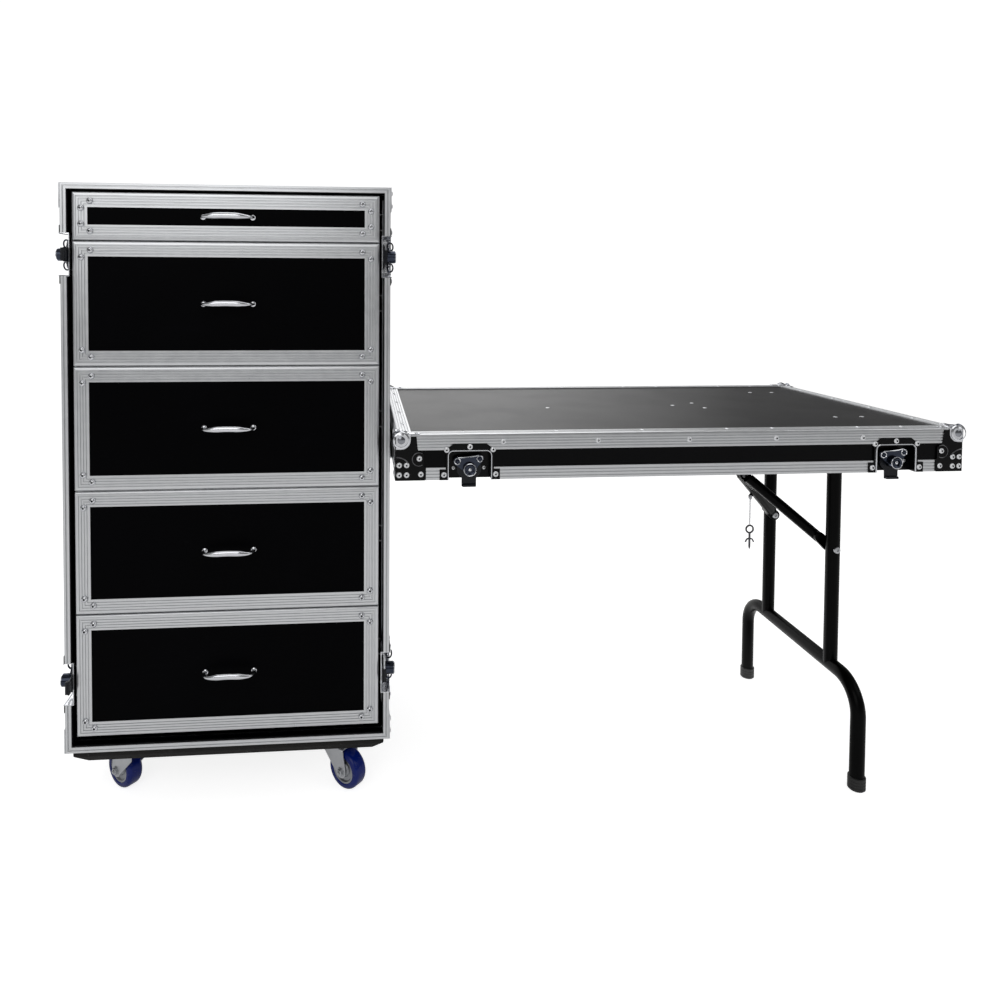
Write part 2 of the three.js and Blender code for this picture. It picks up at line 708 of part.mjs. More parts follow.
// Side handles: a recessed dish in the panel and a sprung grip that hangs inside it
function sideHandle(side) {
  const face = side === 'left' ? left - gap : right + gap;
  const dir = side === 'left' ? 1 : -1;
  const across = (from, to, y0, y1, z0, z1) => box(Math.min(face + dir * from, face + dir * to),
    Math.max(face + dir * from, face + dir * to), y0, y1, z0, z1);
  const y0 = handleY - dishLength / 2;
  const y1 = handleY + dishLength / 2;
  const z0 = handleZ - dishHeight / 2;
  const z1 = handleZ + dishHeight / 2;
  const hinge = handleZ + gripDrop / 2;
  const gripX = face + dir * (dishDepth - dishSheet) / 2;
  const ears = [-1, 1].map((end) => {
    const y = handleY + end * (gripSpan / 2 + gripRod / 2 + runningGap);
    return across(0, dishDepth, Math.min(y, y + end * gripEar), Math.max(y, y + end * gripEar),
      hinge - gripEar, hinge + gripEar);
  });
  const dish = join(
    cut(
      join(across(0, dishDepth, y0, y1, z0, z1),
        across(-angleThickness, 0,
          y0 - dishFlange, y1 + dishFlange, z0 - dishFlange, z1 + dishFlange)),
      across(-overrun, dishDepth - dishSheet,
        y0 + dishSheet, y1 - dishSheet, z0 + dishSheet, z1 - dishSheet)),
    ...ears);
  const pivotLength = gripSpan + gripRod + 2 * (runningGap + gripEar / 2);
  const bore = rod('y', gripRod / 2 + 2 * gap, pivotLength + gripEar / 2, gripX, handleY, hinge);
  const half = gripSpan / 2;
  const at = (y, z) => new Vector3(gripX, handleY + y, z);
  const grip = join(
    strut(at(-half, hinge + gripEyeRise), at(-half, hinge - gripDrop), gripRod),
    strut(at(half, hinge + gripEyeRise), at(half, hinge - gripDrop), gripRod),
    strut(at(-half - gripRod / 2, hinge - gripDrop), at(half + gripRod / 2, hinge - gripDrop), gripRod),
    rod('y', gripRod / 2, pivotLength, gripX, handleY, hinge));
  piece(`side_handle_dish_${side}`, cut(dish, bore), 'blackSteel');
  piece(`side_handle_grip_${side}`, grip, 'blackSteel');
}
sideHandle('left');
sideHandle('right');

// Lid: a glued tray in an aluminium frame with a grooved mating rim, ball corners and four latches
const top = tableHeight;

function lidTray() {
  const i = hullInset;
  const body = cut(
    box(lidLeft + i, lidRight - i, lidNear + i, lidFar - i, lidBottom + lidRimHeight + gap, top - i),
    box(lidLeft + i + panelThickness, lidRight - i - panelThickness, lidNear + i + panelThickness,
      lidFar - i - panelThickness, lidBottom, top - i - panelThickness));
  return cut(body, ...lidLatches.map((latch) => placed(latchRoom(), latch.frame)));
}
piece('lid_tray', lidTray(), 'laminate');

function lidFrame() {
  const t = angleThickness;
  const rimTop = lidBottom + lidRimHeight;
  const inset = (d, z0, z1) => box(lidLeft + d, lidRight - d, lidNear + d, lidFar - d, z0, z1);
  const balls = [];
  for (const [x, sx] of [[lidLeft, -1], [lidRight, 1]]) {
    for (const [y, sy] of [[lidNear, -1], [lidFar, 1]]) balls.push(ball(x, y, top, sx, sy, 1));
  }
  const reach = cornerPlateReach;
  const shell = cut(
    join(inset(0, lidBottom, top), ...balls),
    inset(t, lidBottom - overrun, top - t),
    inset(angleLeg, top - t - overrun, top + overrun + ballProud),
    box(lidLeft + reach, lidRight - reach, lidNear - overrun, lidFar + overrun, rimTop, top - angleLeg),
    box(lidLeft - overrun, lidRight + overrun, lidNear + reach, lidFar - reach, rimTop, top - angleLeg));
  const grooveStart = (rimWidth - grooveWidth) / 2;
  const rim = cut(
    inset(0, lidBottom, rimTop), inset(rimWidth, lidBottom - overrun, rimTop + overrun),
    cut(inset(grooveStart, lidBottom - overrun, lidBottom + grooveDepth),
      inset(grooveStart + grooveWidth, lidBottom - 2 * overrun, lidBottom + grooveDepth + overrun)));
  const body = join(shell, rim, ...lidLatches.map((latch) => placed(latchDish(), latch.frame)));
  const fixedHooks = lidLatches.filter((latch) => !latch.hooked).map((latch) => placed(
    join(latchHook(), box(-hookWidth / 2, hookWidth / 2, latchTubReach / 2, hookReach,
      hookPlateDepth + hookThickness, latchTubDepth + latchTubSheet)), latch.frame));
  return join(cut(body, ...lidLatches.map((latch) => placed(latchHollow(), latch.frame))), ...fixedHooks);
}
piece('lid_frame', lidFrame(), 'aluminium');

for (const latch of [...caseLatches, ...lidLatches]) {
  piece(`latch_wing_${latch.name}`, placed(latchWing(latch.raised), latch.frame), 'chrome');
  if (latch.hooked) piece(`latch_hook_${latch.name}`, placed(latchHook(), latch.frame), 'blackSteel');
}

// Folding leg: top tube, two uprights, and a stretcher whose ends bend down into capped feet
const legX = lidRight - legFromEnd;
const legMiddle = (lidNear + lidFar) / 2;
const pivotZ = top - legPivotDrop;
const bracePivotZ = top - bracePivotDrop;

function legFrame() {
  const half = legSpacing / 2;
  const stretcherZ = top - stretcherDrop;
  const uprights = [-1, 1].map((side) => rod('z', legTube, pivotZ - stretcherZ, legX,
    legMiddle + side * half, (pivotZ + stretcherZ) / 2, tubeSides));
  const footY = half + footSpread;
  const at = (y, z) => new Vector3(legX, legMiddle + y, z);
  const stretcher = [];
  for (const side of [-1, 1]) {
    const path = new THREE.CurvePath();
    const bendStart = side * (footY - footBend);
    const bendEnd = stretcherZ - footBend;
    const kappa = footBend * (4 / 3) * (Math.SQRT2 - 1);
    path.add(new THREE.LineCurve3(at(0, stretcherZ), at(bendStart, stretcherZ)));
    path.add(new THREE.CubicBezierCurve3(at(bendStart, stretcherZ), at(bendStart + side * kappa, stretcherZ),
      at(side * footY, bendEnd + kappa), at(side * footY, bendEnd)));
    path.add(new THREE.LineCurve3(at(side * footY, bendEnd), at(side * footY, capSolePad)));
    const cap = rod('z', capDiameter, capHeight, legX, legMiddle + side * footY, capHeight / 2, tubeSides);
    stretcher.push(bentRod(path, legTube, footSteps, tubeSides), cap);
  }
  const outerFace = half + legTube / 2;
  const innerFace = half - legTube / 2 - braceEyeThickness - 2 * gap;
  const bolts = [-1, 1].map((side) => {
    const from = legMiddle + side * (outerFace + axleHeadThickness);
    const to = legMiddle + side * (innerFace - axleHeadThickness);
    return strut(new Vector3(legX, from, bracePivotZ), new Vector3(legX, to, bracePivotZ), pinDiameter);
  });
  const head = (y) => rod('y', axleHeadDiameter, axleHeadThickness, legX, y, bracePivotZ);
  const heads = [-1, 1].flatMap((side) => [
    head(legMiddle + side * (outerFace + axleHeadThickness / 2 - gap)),
    head(legMiddle + side * (innerFace - axleHeadThickness / 2))]);
  return join(rod('y', legTube, legTopSpan, legX, legMiddle, pivotZ, tubeSides), ...uprights, ...stretcher,
    ...bolts, ...heads);
}
piece('leg_frame', legFrame(), 'blackSteel');

// Bearing blocks under the panel, one round each end of the top tube
const panelUnder = top - hullInset - panelThickness - gap;

function bearingBlock(side) {
  const y = legMiddle + side * (legSpacing / 2 + blockFromUpright);
  const bottom = pivotZ - blockWidth / 2;
  const plate = [
    ...arc(legX, pivotZ, blockWidth / 2, 180, 360, bendSteps),
    [legX + blockWidth / 2, panelUnder], [legX - blockWidth / 2, panelUnder],
  ];
  const body = join(
    plateXZ(plate, y - blockThickness / 2, blockThickness),
    box(legX - blockBase / 2, legX + blockBase / 2, y - blockBaseDepth / 2, y + blockBaseDepth / 2,
      panelUnder - blockBaseThickness, panelUnder));
  return cut(
    body,
    rod('y', legTube + 2 * runningGap, blockThickness + 2 * overrun, legX, y, pivotZ, tubeSides),
    box(legX - blockWidth, legX + blockWidth, y - blockBaseDepth, y + blockBaseDepth,
      bottom - blockWidth, bottom));
}
piece('leg_block_near', bearingBlock(-1), 'blackSteel');
piece('leg_block_far', bearingBlock(1), 'blackSteel');

// Brace: a V of two arms from the leg's bolts to the knee, and a link from there to the bracket
const braceX = legX - braceFromPivot;
const braceZ = top - braceBracketDrop;
const braceRun = new Vector2(braceX - legX, braceZ - bracePivotZ);
const braceAlong = braceRun.clone().normalize();
const kneeX = legX + braceAlong.x * braceArmLength;
const kneeZ = bracePivotZ + braceAlong.y * braceArmLength;
const braceTurn = THREE.MathUtils.radToDeg(Math.atan2(braceAlong.y, braceAlong.x));

// Eye of the pin's chain: a lug under the far arm's tube
const eyeFace = legSpacing / 2 - legTube / 2 - gap;
const earFace = linkThickness / 2 + gap;
const tubeReach = [braceTube - eyeOverlap, braceArmLength - kneeTubeGap];
const tubeOffset = [eyeFace - braceTube / 2, earFace + kneeEarThickness + braceTube / 2 - eyeOverlap];
const eyeReach = braceArmLength - chainFromKnee;
const eyeDrop = braceTube / 2 + chainEyeRadius + gap;
const chainEye = new Vector3(
  legX + braceAlong.x * eyeReach - braceAlong.y * eyeDrop,
  legMiddle + THREE.MathUtils.mapLinear(eyeReach, ...tubeReach, ...tubeOffset),
  bracePivotZ + braceAlong.y * eyeReach + braceAlong.x * eyeDrop);

// One arm: a flattened end round the leg's bolt, a tube, and an ear beside the link at the knee
function braceArm(side) {
  const eyeMiddle = eyeFace - braceEyeThickness / 2;
  const y = (offset, thickness) => legMiddle + (side < 0 ? -offset - thickness : offset);
  const alongBrace = (distance, offset) => new Vector3(legX + braceAlong.x * distance,
    legMiddle + side * offset, bracePivotZ + braceAlong.y * distance);
  const [tubeStart, tubeEnd] = [0, 1].map((end) => alongBrace(tubeReach[end], tubeOffset[end]));
  const arm = cut(
    join(
      taperedPlate(legX, bracePivotZ, braceEyeDiameter / 2, braceTurn, braceTube + eyeOverlap,
        braceTube / 2 - gap, y(eyeMiddle - braceEyeThickness / 2, braceEyeThickness), braceEyeThickness),
      strut(tubeStart, tubeEnd, braceTube, tubeSides),
      taperedPlate(kneeX, kneeZ, kneeRadius, braceTurn + 180, kneeEarLength, kneeRadius - kneeTaper,
        y(earFace, kneeEarThickness), kneeEarThickness)),
    rod('y', pinBore, 2 * braceEyeThickness, legX, legMiddle + side * eyeMiddle, bracePivotZ),
    rod('y', pinBore, 2 * braceTube, kneeX, legMiddle + side * braceTube, kneeZ));
  if (side < 0) return arm;
  const lug = taperedPlate(chainEye.x, chainEye.z, chainEyeRadius, braceTurn - 90, eyeDrop, chainEyeRadius,
    chainEye.y - chainLug / 2, chainLug);
  return cut(join(arm, lug),
    rod('y', chainPivot + 2 * gap, chainLug + overrun, chainEye.x, chainEye.y, chainEye.z));
}

// Plate with one round end about a point, tapering to a square end along a direction in the XZ plane
function taperedPlate(x, z, radius, turn, length, endHalf, y, thickness) {
  const angle = THREE.MathUtils.degToRad(turn);
  const along = new Vector2(Math.cos(angle), Math.sin(angle));
  const end = (side) => [
    x + along.x * length - side * along.y * endHalf,
    z + along.y * length + side * along.x * endHalf,
  ];
  return plateXZ([...arc(x, z, radius, turn + 90, turn + 270, bendSteps), end(-1), end(1)], y, thickness);
}
piece('leg_brace_arm_near', braceArm(-1), 'blackSteel');
piece('leg_brace_arm_far', braceArm(1), 'blackSteel');

// Link: a flat bar from the knee to a barrel at the bracket
function braceLink() {
  const half = linkThickness / 2;
  const bar = plateXZ([
    ...arc(kneeX, kneeZ, linkWidth / 2, braceTurn + 90, braceTurn + 270, bendSteps),
    ...arc(braceX, braceZ, linkWidth / 2, braceTurn - 90, braceTurn + 90, bendSteps),
  ], legMiddle - half, linkThickness);
  const barrel = rod('y', braceTube, bracketEarGap - 2 * runningGap, braceX, legMiddle, braceZ, tubeSides);
  return cut(join(bar, barrel),
    rod('y', pinBore, bracketEarGap + overrun, braceX, legMiddle, braceZ),
    rod('y', pinBore, linkThickness + overrun, kneeX, legMiddle, kneeZ));
}
piece('leg_brace_link', braceLink(), 'blackSteel');

// Bracket under the panel: a T-shaped foot and two ears with the link's pin
function braceBracket() {
  const base = panelUnder - bracketBaseThickness;
  const inner = bracketEarGap / 2;
  const ears = [legMiddle - inner - bracketEarThickness, legMiddle + inner].map((y) => plateXZ([
    ...arc(braceX, braceZ, bracketEarWidth / 2, 180, 360, bendSteps),
    [braceX + bracketEarWidth / 2, panelUnder], [braceX - bracketEarWidth / 2, panelUnder],
  ], y, bracketEarThickness));
  const pinLength = bracketEarGap + 2 * bracketEarThickness;
  return join(
    box(braceX - bracketLength / 2, braceX + bracketLength / 2, legMiddle - inner - bracketEarThickness,
      legMiddle + inner + bracketEarThickness, base, panelUnder),
    box(braceX - bracketBarWidth / 2 + bracketEarWidth, braceX + bracketBarWidth / 2 + bracketEarWidth,
      legMiddle - bracketSpan / 2, legMiddle + bracketSpan / 2, base, panelUnder),
    ...ears, rod('y', pinDiameter, pinLength, braceX, legMiddle, braceZ));
}
piece('leg_brace_bracket', braceBracket(), 'blackSteel');

// Locking pin that hangs unused from its chain: clevis, chain, ring, stem and two sprung prongs
function lockPin() {
  const { x, y, z } = chainEye;
  const cheek = (chainPivot + chainCheek) / 2 + chainCheek;
  const outer = chainLug / 2 + gap + chainCheek;
  const bridge = chainEyeRadius + gap;
  const cheeks = [-outer, chainLug / 2 + gap].map((offset) => plateXZ([
    ...arc(x, z, cheek, 0, 180, bendSteps),
    [x - cheek, z - bridge - chainCheek], [x + cheek, z - bridge - chainCheek],
  ], y + offset, chainCheek));
  const ringZ = z - chainLength - pinRingRadius + chainRod / 2;
  const ring = solid(new THREE.TorusGeometry(pinRingRadius - chainRod / 2, chainRod / 2, smallSides / 2,
    2 * smallSides).rotateX(Math.PI / 2).translate(x, y, ringZ));
  const stemTop = ringZ - pinRingRadius + chainRod;
  const stemEnd = stemTop - pinStem;
  const prongs = [-1, 1].map((side) => {
    const at = (dx, dz) => new Vector3(x + side * dx, y, stemTop - pinProngStart - dz);
    const curve = new THREE.QuadraticBezierCurve3(at(0, 0), at(pinProngSpan, 0),
      at(pinProngSpan, pinProngFall));
    return bentRod(curve, chainRod, bendSteps, smallSides / 2 + 1);
  });
  return join(
    ...cheeks,
    box(x - cheek, x + cheek, y - outer, y + outer, z - bridge - chainCheek, z - bridge),
    rod('y', chainPivot, 2 * outer, x, y, z),
    rod('z', chainRod, chainLength - bridge, x, y, z - (chainLength + bridge) / 2),
    ring, rod('z', pinStemDiameter, pinStem, x, y, (stemTop + stemEnd) / 2), ...prongs);
}
piece('lock_pin', lockPin(), 'zinc');

// The finished part stands on the floor with its origin under the middle of its bounding box
const part = new THREE.Group();
part.add(model);
const bounds = new THREE.Box3().setFromObject(model);
const centre = bounds.getCenter(new Vector3());
model.position.set(-centre.x, -centre.y, -bounds.min.z);
part.updateMatrixWorld(true);

export default part;
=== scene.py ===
import math

import bmesh
import bpy
from mathutils import Matrix, Vector


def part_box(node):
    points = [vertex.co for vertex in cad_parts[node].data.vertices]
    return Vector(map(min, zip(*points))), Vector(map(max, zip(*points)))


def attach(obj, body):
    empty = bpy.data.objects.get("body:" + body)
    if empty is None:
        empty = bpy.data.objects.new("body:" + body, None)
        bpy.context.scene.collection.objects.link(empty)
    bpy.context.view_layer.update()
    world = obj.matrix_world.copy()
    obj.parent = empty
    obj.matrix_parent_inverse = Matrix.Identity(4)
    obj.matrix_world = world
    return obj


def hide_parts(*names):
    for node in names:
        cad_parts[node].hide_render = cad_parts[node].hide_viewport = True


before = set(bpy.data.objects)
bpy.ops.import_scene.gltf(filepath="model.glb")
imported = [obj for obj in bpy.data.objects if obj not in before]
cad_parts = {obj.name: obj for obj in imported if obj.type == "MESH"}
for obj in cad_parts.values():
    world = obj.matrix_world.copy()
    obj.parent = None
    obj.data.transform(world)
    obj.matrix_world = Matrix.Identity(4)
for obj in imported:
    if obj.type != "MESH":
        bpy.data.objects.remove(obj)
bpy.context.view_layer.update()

# Camera. It stands in front of the case, a little left of the gap between case and table, about as high as
# a person sitting, and its lens is shifted to take in the whole table.
camera_place = Vector((-0.2819, -1.6557, 1.001))
camera_yaw, camera_pitch, camera_roll = 0.087, 0.033, -0.005
focal_share, sensor = 0.76, 36.0
shift_right, shift_up = 0.071, -0.192

lens = bpy.data.cameras.new("camera")
lens.lens, lens.sensor_width = focal_share * sensor, sensor
lens.shift_x, lens.shift_y = shift_right, shift_up
camera = bpy.data.objects.new("camera", lens)
bpy.context.scene.collection.objects.link(camera)
forward = Vector((math.sin(camera_yaw) * math.cos(camera_pitch),
                  math.cos(camera_yaw) * math.cos(camera_pitch), -math.sin(camera_pitch)))
right = Vector((math.cos(camera_yaw), -math.sin(camera_yaw), 0)).normalized()
up = right.cross(forward)
basis = Matrix((right, up, -forward)).transposed() @ Matrix.Rotation(-camera_roll, 3, "Z")
camera.matrix_world = Matrix.Translation(camera_place) @ basis.to_4x4()
bpy.context.scene.camera = camera


# Studio. White paper as floor and backdrop keeps the object's shadow. A dim room and three soft lamps light
# it. The paper behind the case glows in reflections, less towards the right; the paper in front is dimmer.
class Value:
    """A shader socket, whose sums with sockets and numbers add Math nodes."""

    def __init__(self, finish, socket):
        self.finish, self.socket = finish, socket

    def sum(self, operation, first, second):
        return self.finish.node("Math", {0: first, 1: second}, operation=operation)

    def __add__(self, other):
        return self.sum("ADD", self, other)

    def __mul__(self, other):
        return self.sum("MULTIPLY", self, other)

    def __rsub__(self, other):
        return self.sum("SUBTRACT", other, self)

    __radd__, __rmul__ = __add__, __mul__


class Finish:
    """A procedural material."""

    def __init__(self, name, owner=None):
        self.owner = owner or bpy.data.materials.new(name)
        self.owner.use_nodes = True
        self.tree = self.owner.node_tree
        self.tree.nodes.clear()

    def node(self, kind, sockets=None, output=0, **settings):
        """Adds a node, sets it, feeds its sockets and returns one of its outputs."""
        node = self.tree.nodes.new("ShaderNode" + kind)
        for key, value in settings.items():
            setattr(node, key, value)
        for key, value in (sockets or {}).items():
            if isinstance(value, Value):
                self.tree.links.new(value.socket, node.inputs[key])
            else:
                node.inputs[key].default_value = value
        return Value(self, node.outputs[output]) if node.outputs else None

    def spots(self, scale, detail=3.0, stretch=(1, 1, 1), sharp=None):
        """Noise over the piece in its own metres, from 0 to 1, or as islands with a sharp range."""
        place = self.node("TexCoord", output="Object")
        place = self.node("Mapping", {"Vector": place, "Scale": stretch})
        noise = self.node("TexNoise", {"Vector": place, "Scale": scale, "Detail": detail})
        if sharp is None:
            return noise
        return self.node("MapRange", {"Value": noise, "From Min": sharp[0], "From Max": sharp[1]})

    def tint(self, share, first, second):
        """The first colour where the share is 0 and the second where it is 1."""
        return self.node("Mix", {0: share, 6: (*first, 1), 7: (*second, 1)}, 2, data_type="RGBA")

    def surface(self, colour, roughness, bump, depth, **fixed):
        """Ends the material with its shader. The fixed values are numbers on the shader's own sockets."""
        normal = self.node("Bump", {"Height": bump, "Strength": 1.0, "Distance": depth})
        sockets = {"Base Color": colour, "Roughness": roughness, "Normal": normal}
        sockets.update({key.replace("_", " "): value for key, value in fixed.items()})
        self.node("OutputMaterial", {"Surface": self.node("BsdfPrincipled", sockets)})
        return self.owner


floor_half, backdrop_height, backdrop_distance, backdrop_bend = 9.0, 7.0, 5.0, 1.5
white, floor_colour = (1, 1, 1), (0.60, 0.60, 0.60, 1)
camera_lift, near_lift, far_lift, far_dim, fade_from, fade_to = 0.82, 0.30, 1.25, 0.04, 0.9, 3.2


def studio_paper(name, lift, dim):
    """White paper whose glow in reflections fades towards the right, from the lift to a share of it."""
    paper = Finish(name)
    camera_ray, glossy_ray, clear_ray = [paper.node("LightPath", output=f"Is {ray} Ray")
                                         for ray in ("Camera", "Glossy", "Transmission")]
    reflected = glossy_ray.sum("MAXIMUM", glossy_ray, clear_ray)
    across = paper.node("SeparateXYZ", {"Vector": paper.node("TexCoord", output="Object")})
    fade = paper.node("MapRange", {"Value": across, "From Min": fade_from, "From Max": fade_to})
    shade = paper.tint(fade, white, (dim, dim, dim))
    matt = paper.node("BsdfDiffuse", {"Color": floor_colour})
    seen = paper.node("Emission", {"Color": (*white, 1), "Strength": camera_ray * camera_lift})
    glow = paper.node("Emission", {"Color": shade, "Strength": reflected * lift})
    both = paper.node("AddShader", {0: seen, 1: glow})
    both = paper.node("AddShader", {0: matt, 1: both})
    paper.node("OutputMaterial", {"Surface": both})
    return paper.owner


def made(result, kind=bmesh.types.BMVert, part="geom"):
    """The points, or the edges, that an operator made."""
    return [item for item in result[part] if isinstance(item, kind)]


def bevelled(shape, edges, offset, segments=1):
    bmesh.ops.bevel(shape, geom=list(edges), offset=offset, segments=segments, profile=0.5, affect="EDGES",
                    material=-1)


sheet = bmesh.new()
bmesh.ops.create_grid(sheet, x_segments=1, y_segments=2, size=floor_half)
back_edge = [edge for edge in sheet.edges if all(vert.co.y > floor_half / 2 for vert in edge.verts)]
for vert in back_edge[0].verts:
    vert.co.y = backdrop_distance
for vert in made(bmesh.ops.extrude_edge_only(sheet, edges=back_edge)):
    vert.co.z = backdrop_height
bevelled(sheet, [edge for edge in sheet.edges if all(abs(vert.co.y - backdrop_distance) < 1e-6
                                                     and vert.co.z == 0 for vert in edge.verts)],
         backdrop_bend, 12)
for face in sheet.faces:
    face.material_index = int(face.calc_center_median().y < 0)
sheet_mesh = bpy.data.meshes.new("studio")
sheet.to_mesh(sheet_mesh)
sheet_mesh.shade_smooth()
sheet_mesh.materials.append(studio_paper("studio_paper_far", far_lift, far_dim))
sheet_mesh.materials.append(studio_paper("studio_paper_near", near_lift, 1.0))
studio = bpy.data.objects.new("studio", sheet_mesh)
bpy.context.scene.collection.objects.link(studio)

# place, side and power of each lamp
lamp_plan = {
    "lamp_left": ((-1.3, -3.3, 2.3), 2.4, 26.0),
    "lamp_right": ((2.9, -1.9, 2.7), 2.0, 14.0),
    "lamp_above": ((0.0, 0.5, 3.4), 3.2, 46.0),
}
aim = Vector((0, 0, 0.6))
for name, (place, side, power) in lamp_plan.items():
    lamp = bpy.data.lights.new(name, "AREA")
    lamp.shape, lamp.size, lamp.energy = "SQUARE", side, power
    holder = bpy.data.objects.new(name, lamp)
    holder.location = place
    holder.rotation_euler = (aim - Vector(place)).to_track_quat("-Z", "Y").to_euler()
    bpy.context.scene.collection.objects.link(holder)

room_light, room_reflection = 0.42, 0.18
bpy.context.scene.world = bpy.data.worlds.new("room")
room = Finish("room", bpy.context.scene.world)
camera_ray = room.node("LightPath", output="Is Camera Ray")
glossy_ray = room.node("LightPath", output="Is Glossy Ray")
strength = room_light - glossy_ray * (room_light - room_reflection)
strength = strength.sum("MAXIMUM", strength, camera_ray)
room.node("OutputWorld", {"Surface": room.node("Background", {"Color": (*white, 1), "Strength": strength})})
bpy.context.scene.view_settings.view_transform = "Standard"


# Black laminate. The case's five boards and the lid's tray are birch plywood faced with black phenolic
# laminate, which has a fine moulded grain, a dull sheen and some dust. The boards sit in the edging.
def laminate(name, grain, shine, gloss):
    finish = Finish(name)
    pores = finish.spots(grain, detail=2.0)
    dust = finish.spots(7.0, detail=5.0, sharp=(0.45, 0.8))
    rub = finish.spots(26.0, detail=4.0, stretch=(0.25, 1, 1), sharp=(0.62, 0.74))
    colour = finish.tint(dust * 0.4 + rub * 0.2, (0.0005, 0.0005, 0.0009), (0.0016, 0.0016, 0.0026))
    return finish.surface(colour, pores * 0.1 + dust * 0.04 + (shine - 0.07), pores, 0.00012,
                          Specular_IOR_Level=gloss)


def refinish(material, *names):
    """Gives carried-over parts of the frame their material."""
    for name in names:
        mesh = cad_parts[name].data
        mesh.materials.clear()
        mesh.materials.append(material)


board_black = laminate("laminate_black", 1100.0, 0.42, 0.03)
refinish(board_black, *[f"case_{side}_panel" for side in ("left", "right", "top", "bottom", "back")],
         *[f"drawer_{number}_box" for number in range(1, 6)])
refinish(laminate("laminate_table", 900.0, 0.36, 0.10), "lid_tray")


# Front rim. A hybrid aluminium extrusion, mitred at the four corners, with the lip that the lid's groove fits
# over. A black strip inside it, on the ledge behind the lip, is painted shade for the dark ledge. Fine ribs
# run along its faces. Rim and strip are cut away for the four recessed latches at the sides.
corner_plate = 0.002
rim_low, rim_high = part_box("front_rim")
case_left, case_right = rim_low.x + corner_plate, rim_high.x - corner_plate
case_front, case_low, case_high = rim_low.y, rim_low.z, rim_high.z
hull_inset = 0.0018
case_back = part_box("case_back_panel")[1].y + hull_inset
X, Y, Z = Vector((1, 0, 0)), Vector((0, 1, 0)), Vector((0, 0, 1))


def at(x, y, z):
    return Vector((x, y, z))


def shapes(count):
    """Empty shapes, one for each piece that is made together."""
    return [bmesh.new() for _ in range(count)]


def metal(name, bright, dull, roughness, grain=60.0, metallic=1.0):
    finish = Finish(name)
    haze, wear = finish.spots(grain, detail=4.0), finish.spots(grain * 9, detail=2.0)
    return finish.surface(finish.tint(haze, dull, bright), haze * 0.16 + wear * 0.08 + (roughness - 0.1),
                          wear, 0.00003, Metallic=metallic)


def piece(name, shape, material, body="case", replaces=(), slot=None, angle=35, second=None):
    """Shows a finished shape as a piece that moves with a body of the frame."""
    bmesh.ops.recalc_face_normals(shape, faces=shape.faces)
    mesh = bpy.data.meshes.new(name)
    shape.to_mesh(mesh)
    shape.free()
    mesh.shade_smooth()
    mesh.set_sharp_from_angle(angle=math.radians(angle))
    mesh.materials.append(material)
    if second:
        mesh.materials.append(second)
    thing = bpy.data.objects.new(name, mesh)
    bpy.context.scene.collection.objects.link(thing)
    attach(thing, body)
    if replaces:
        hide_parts(*replaces)


def bar(shape, section, start, end, across, up, mitres=(1, 1)):
    """Adds an extrusion. Its section is (across, up) points; a mitre of 1 cuts that end at 45 degrees."""
    along = (end - start).normalized()
    near = [shape.verts.new(start + (across + along * mitres[0]) * a + up * b) for a, b in section]
    for vert in made(bmesh.ops.extrude_face_region(shape, geom=[shape.faces.new(near)])):
        vert.co += end - start - along * (vert.co - start).dot(across) * sum(mitres)


def four_edges(corner, opposite, u, v):
    """The start, end and inward direction of a rectangle's four edges, which run along u and v."""
    across, aloft = u * (opposite - corner).dot(u), v * (opposite - corner).dot(v)
    return ((corner, corner + across, v), (corner + aloft, opposite, -v),
            (corner, corner + aloft, u), (corner + across, opposite, -u))


def rim_bar(shape, section, start, end, across, up, latched):
    """Adds a mitred bar that is cut away for two latches where it is latched."""
    along, length = (end - start).normalized(), (end - start).length
    cuts = [latch_inset - latch_half, latch_inset + latch_half]
    stops = [0, *cuts, length - cuts[1], length - cuts[0], length] if latched else [0, length]
    for low, high in zip(stops[::2], stops[1::2]):
        bar(shape, section, start + along * low, start + along * high, across, up, (low == 0, high == length))


def ribs(start, end, count):
    """Section points along a face at level 0, from start to end, with shallow grooves in it."""
    points, pitch = [(start, 0)], (end - start) / (count + 1)
    for number in range(1, count + 1):
        middle, half = start + pitch * number, pitch * groove_share / 2
        points += [(middle - half, 0), (middle - half / 2, -groove_depth), (middle + half / 2, -groove_depth),
                   (middle + half, 0)]
    return points + [(end, 0)]


def ribbed_piece(name, shape, *fixing):
    """Shows a ribbed extrusion in aluminium, with painted shade on the narrow faces of its grooves, which
    take a darker grey.
    """
    for face in shape.faces:
        if len(face.verts) == 4 and min(edge.calc_length() for edge in face.edges) < groove_width:
            face.material_index = 1
    piece(name, shape, aluminium, *fixing, second=groove_painted_shade)


aluminium = metal("aluminium", (0.74, 0.75, 0.76), (0.62, 0.63, 0.65), 0.30)
# The grooves' darker grey is painted shade, for the shade that falls in them.
groove_painted_shade = metal("aluminium_groove_painted_shade", (0.59, 0.60, 0.61), (0.48, 0.49, 0.50), 0.38)
groove_width, groove_depth, groove_share = 0.0015, 0.0012, 0.50
rim_width, rim_depth, rim_lip, rim_ledge, rim_round = 0.013, 0.022, 0.0112, 0.018, 0.0006
latch_inset, latch_half = 0.1305, 0.0397
ledge_shade_gap, ledge_shade_drop, side_groove, side_groove_half = 0.0002, 0.005, 0.0009, 0.0008
side_ribs = [(0, -0.0215)]
for level in (-0.0164, -0.0107, -0.0050):
    side_ribs += [(0, level - side_groove_half), (side_groove, level - side_groove_half / 2),
                  (side_groove, level + side_groove_half / 2), (0, level + side_groove_half)]
side_ribs += [(0, -rim_round)]
rim_section = (side_ribs + ribs(rim_round, rim_lip - rim_round, 1)
               + [(rim_lip, -rim_round), (rim_lip, -rim_ledge), (rim_width, -rim_ledge),
                  (rim_width, -rim_depth), (0, -rim_depth)])
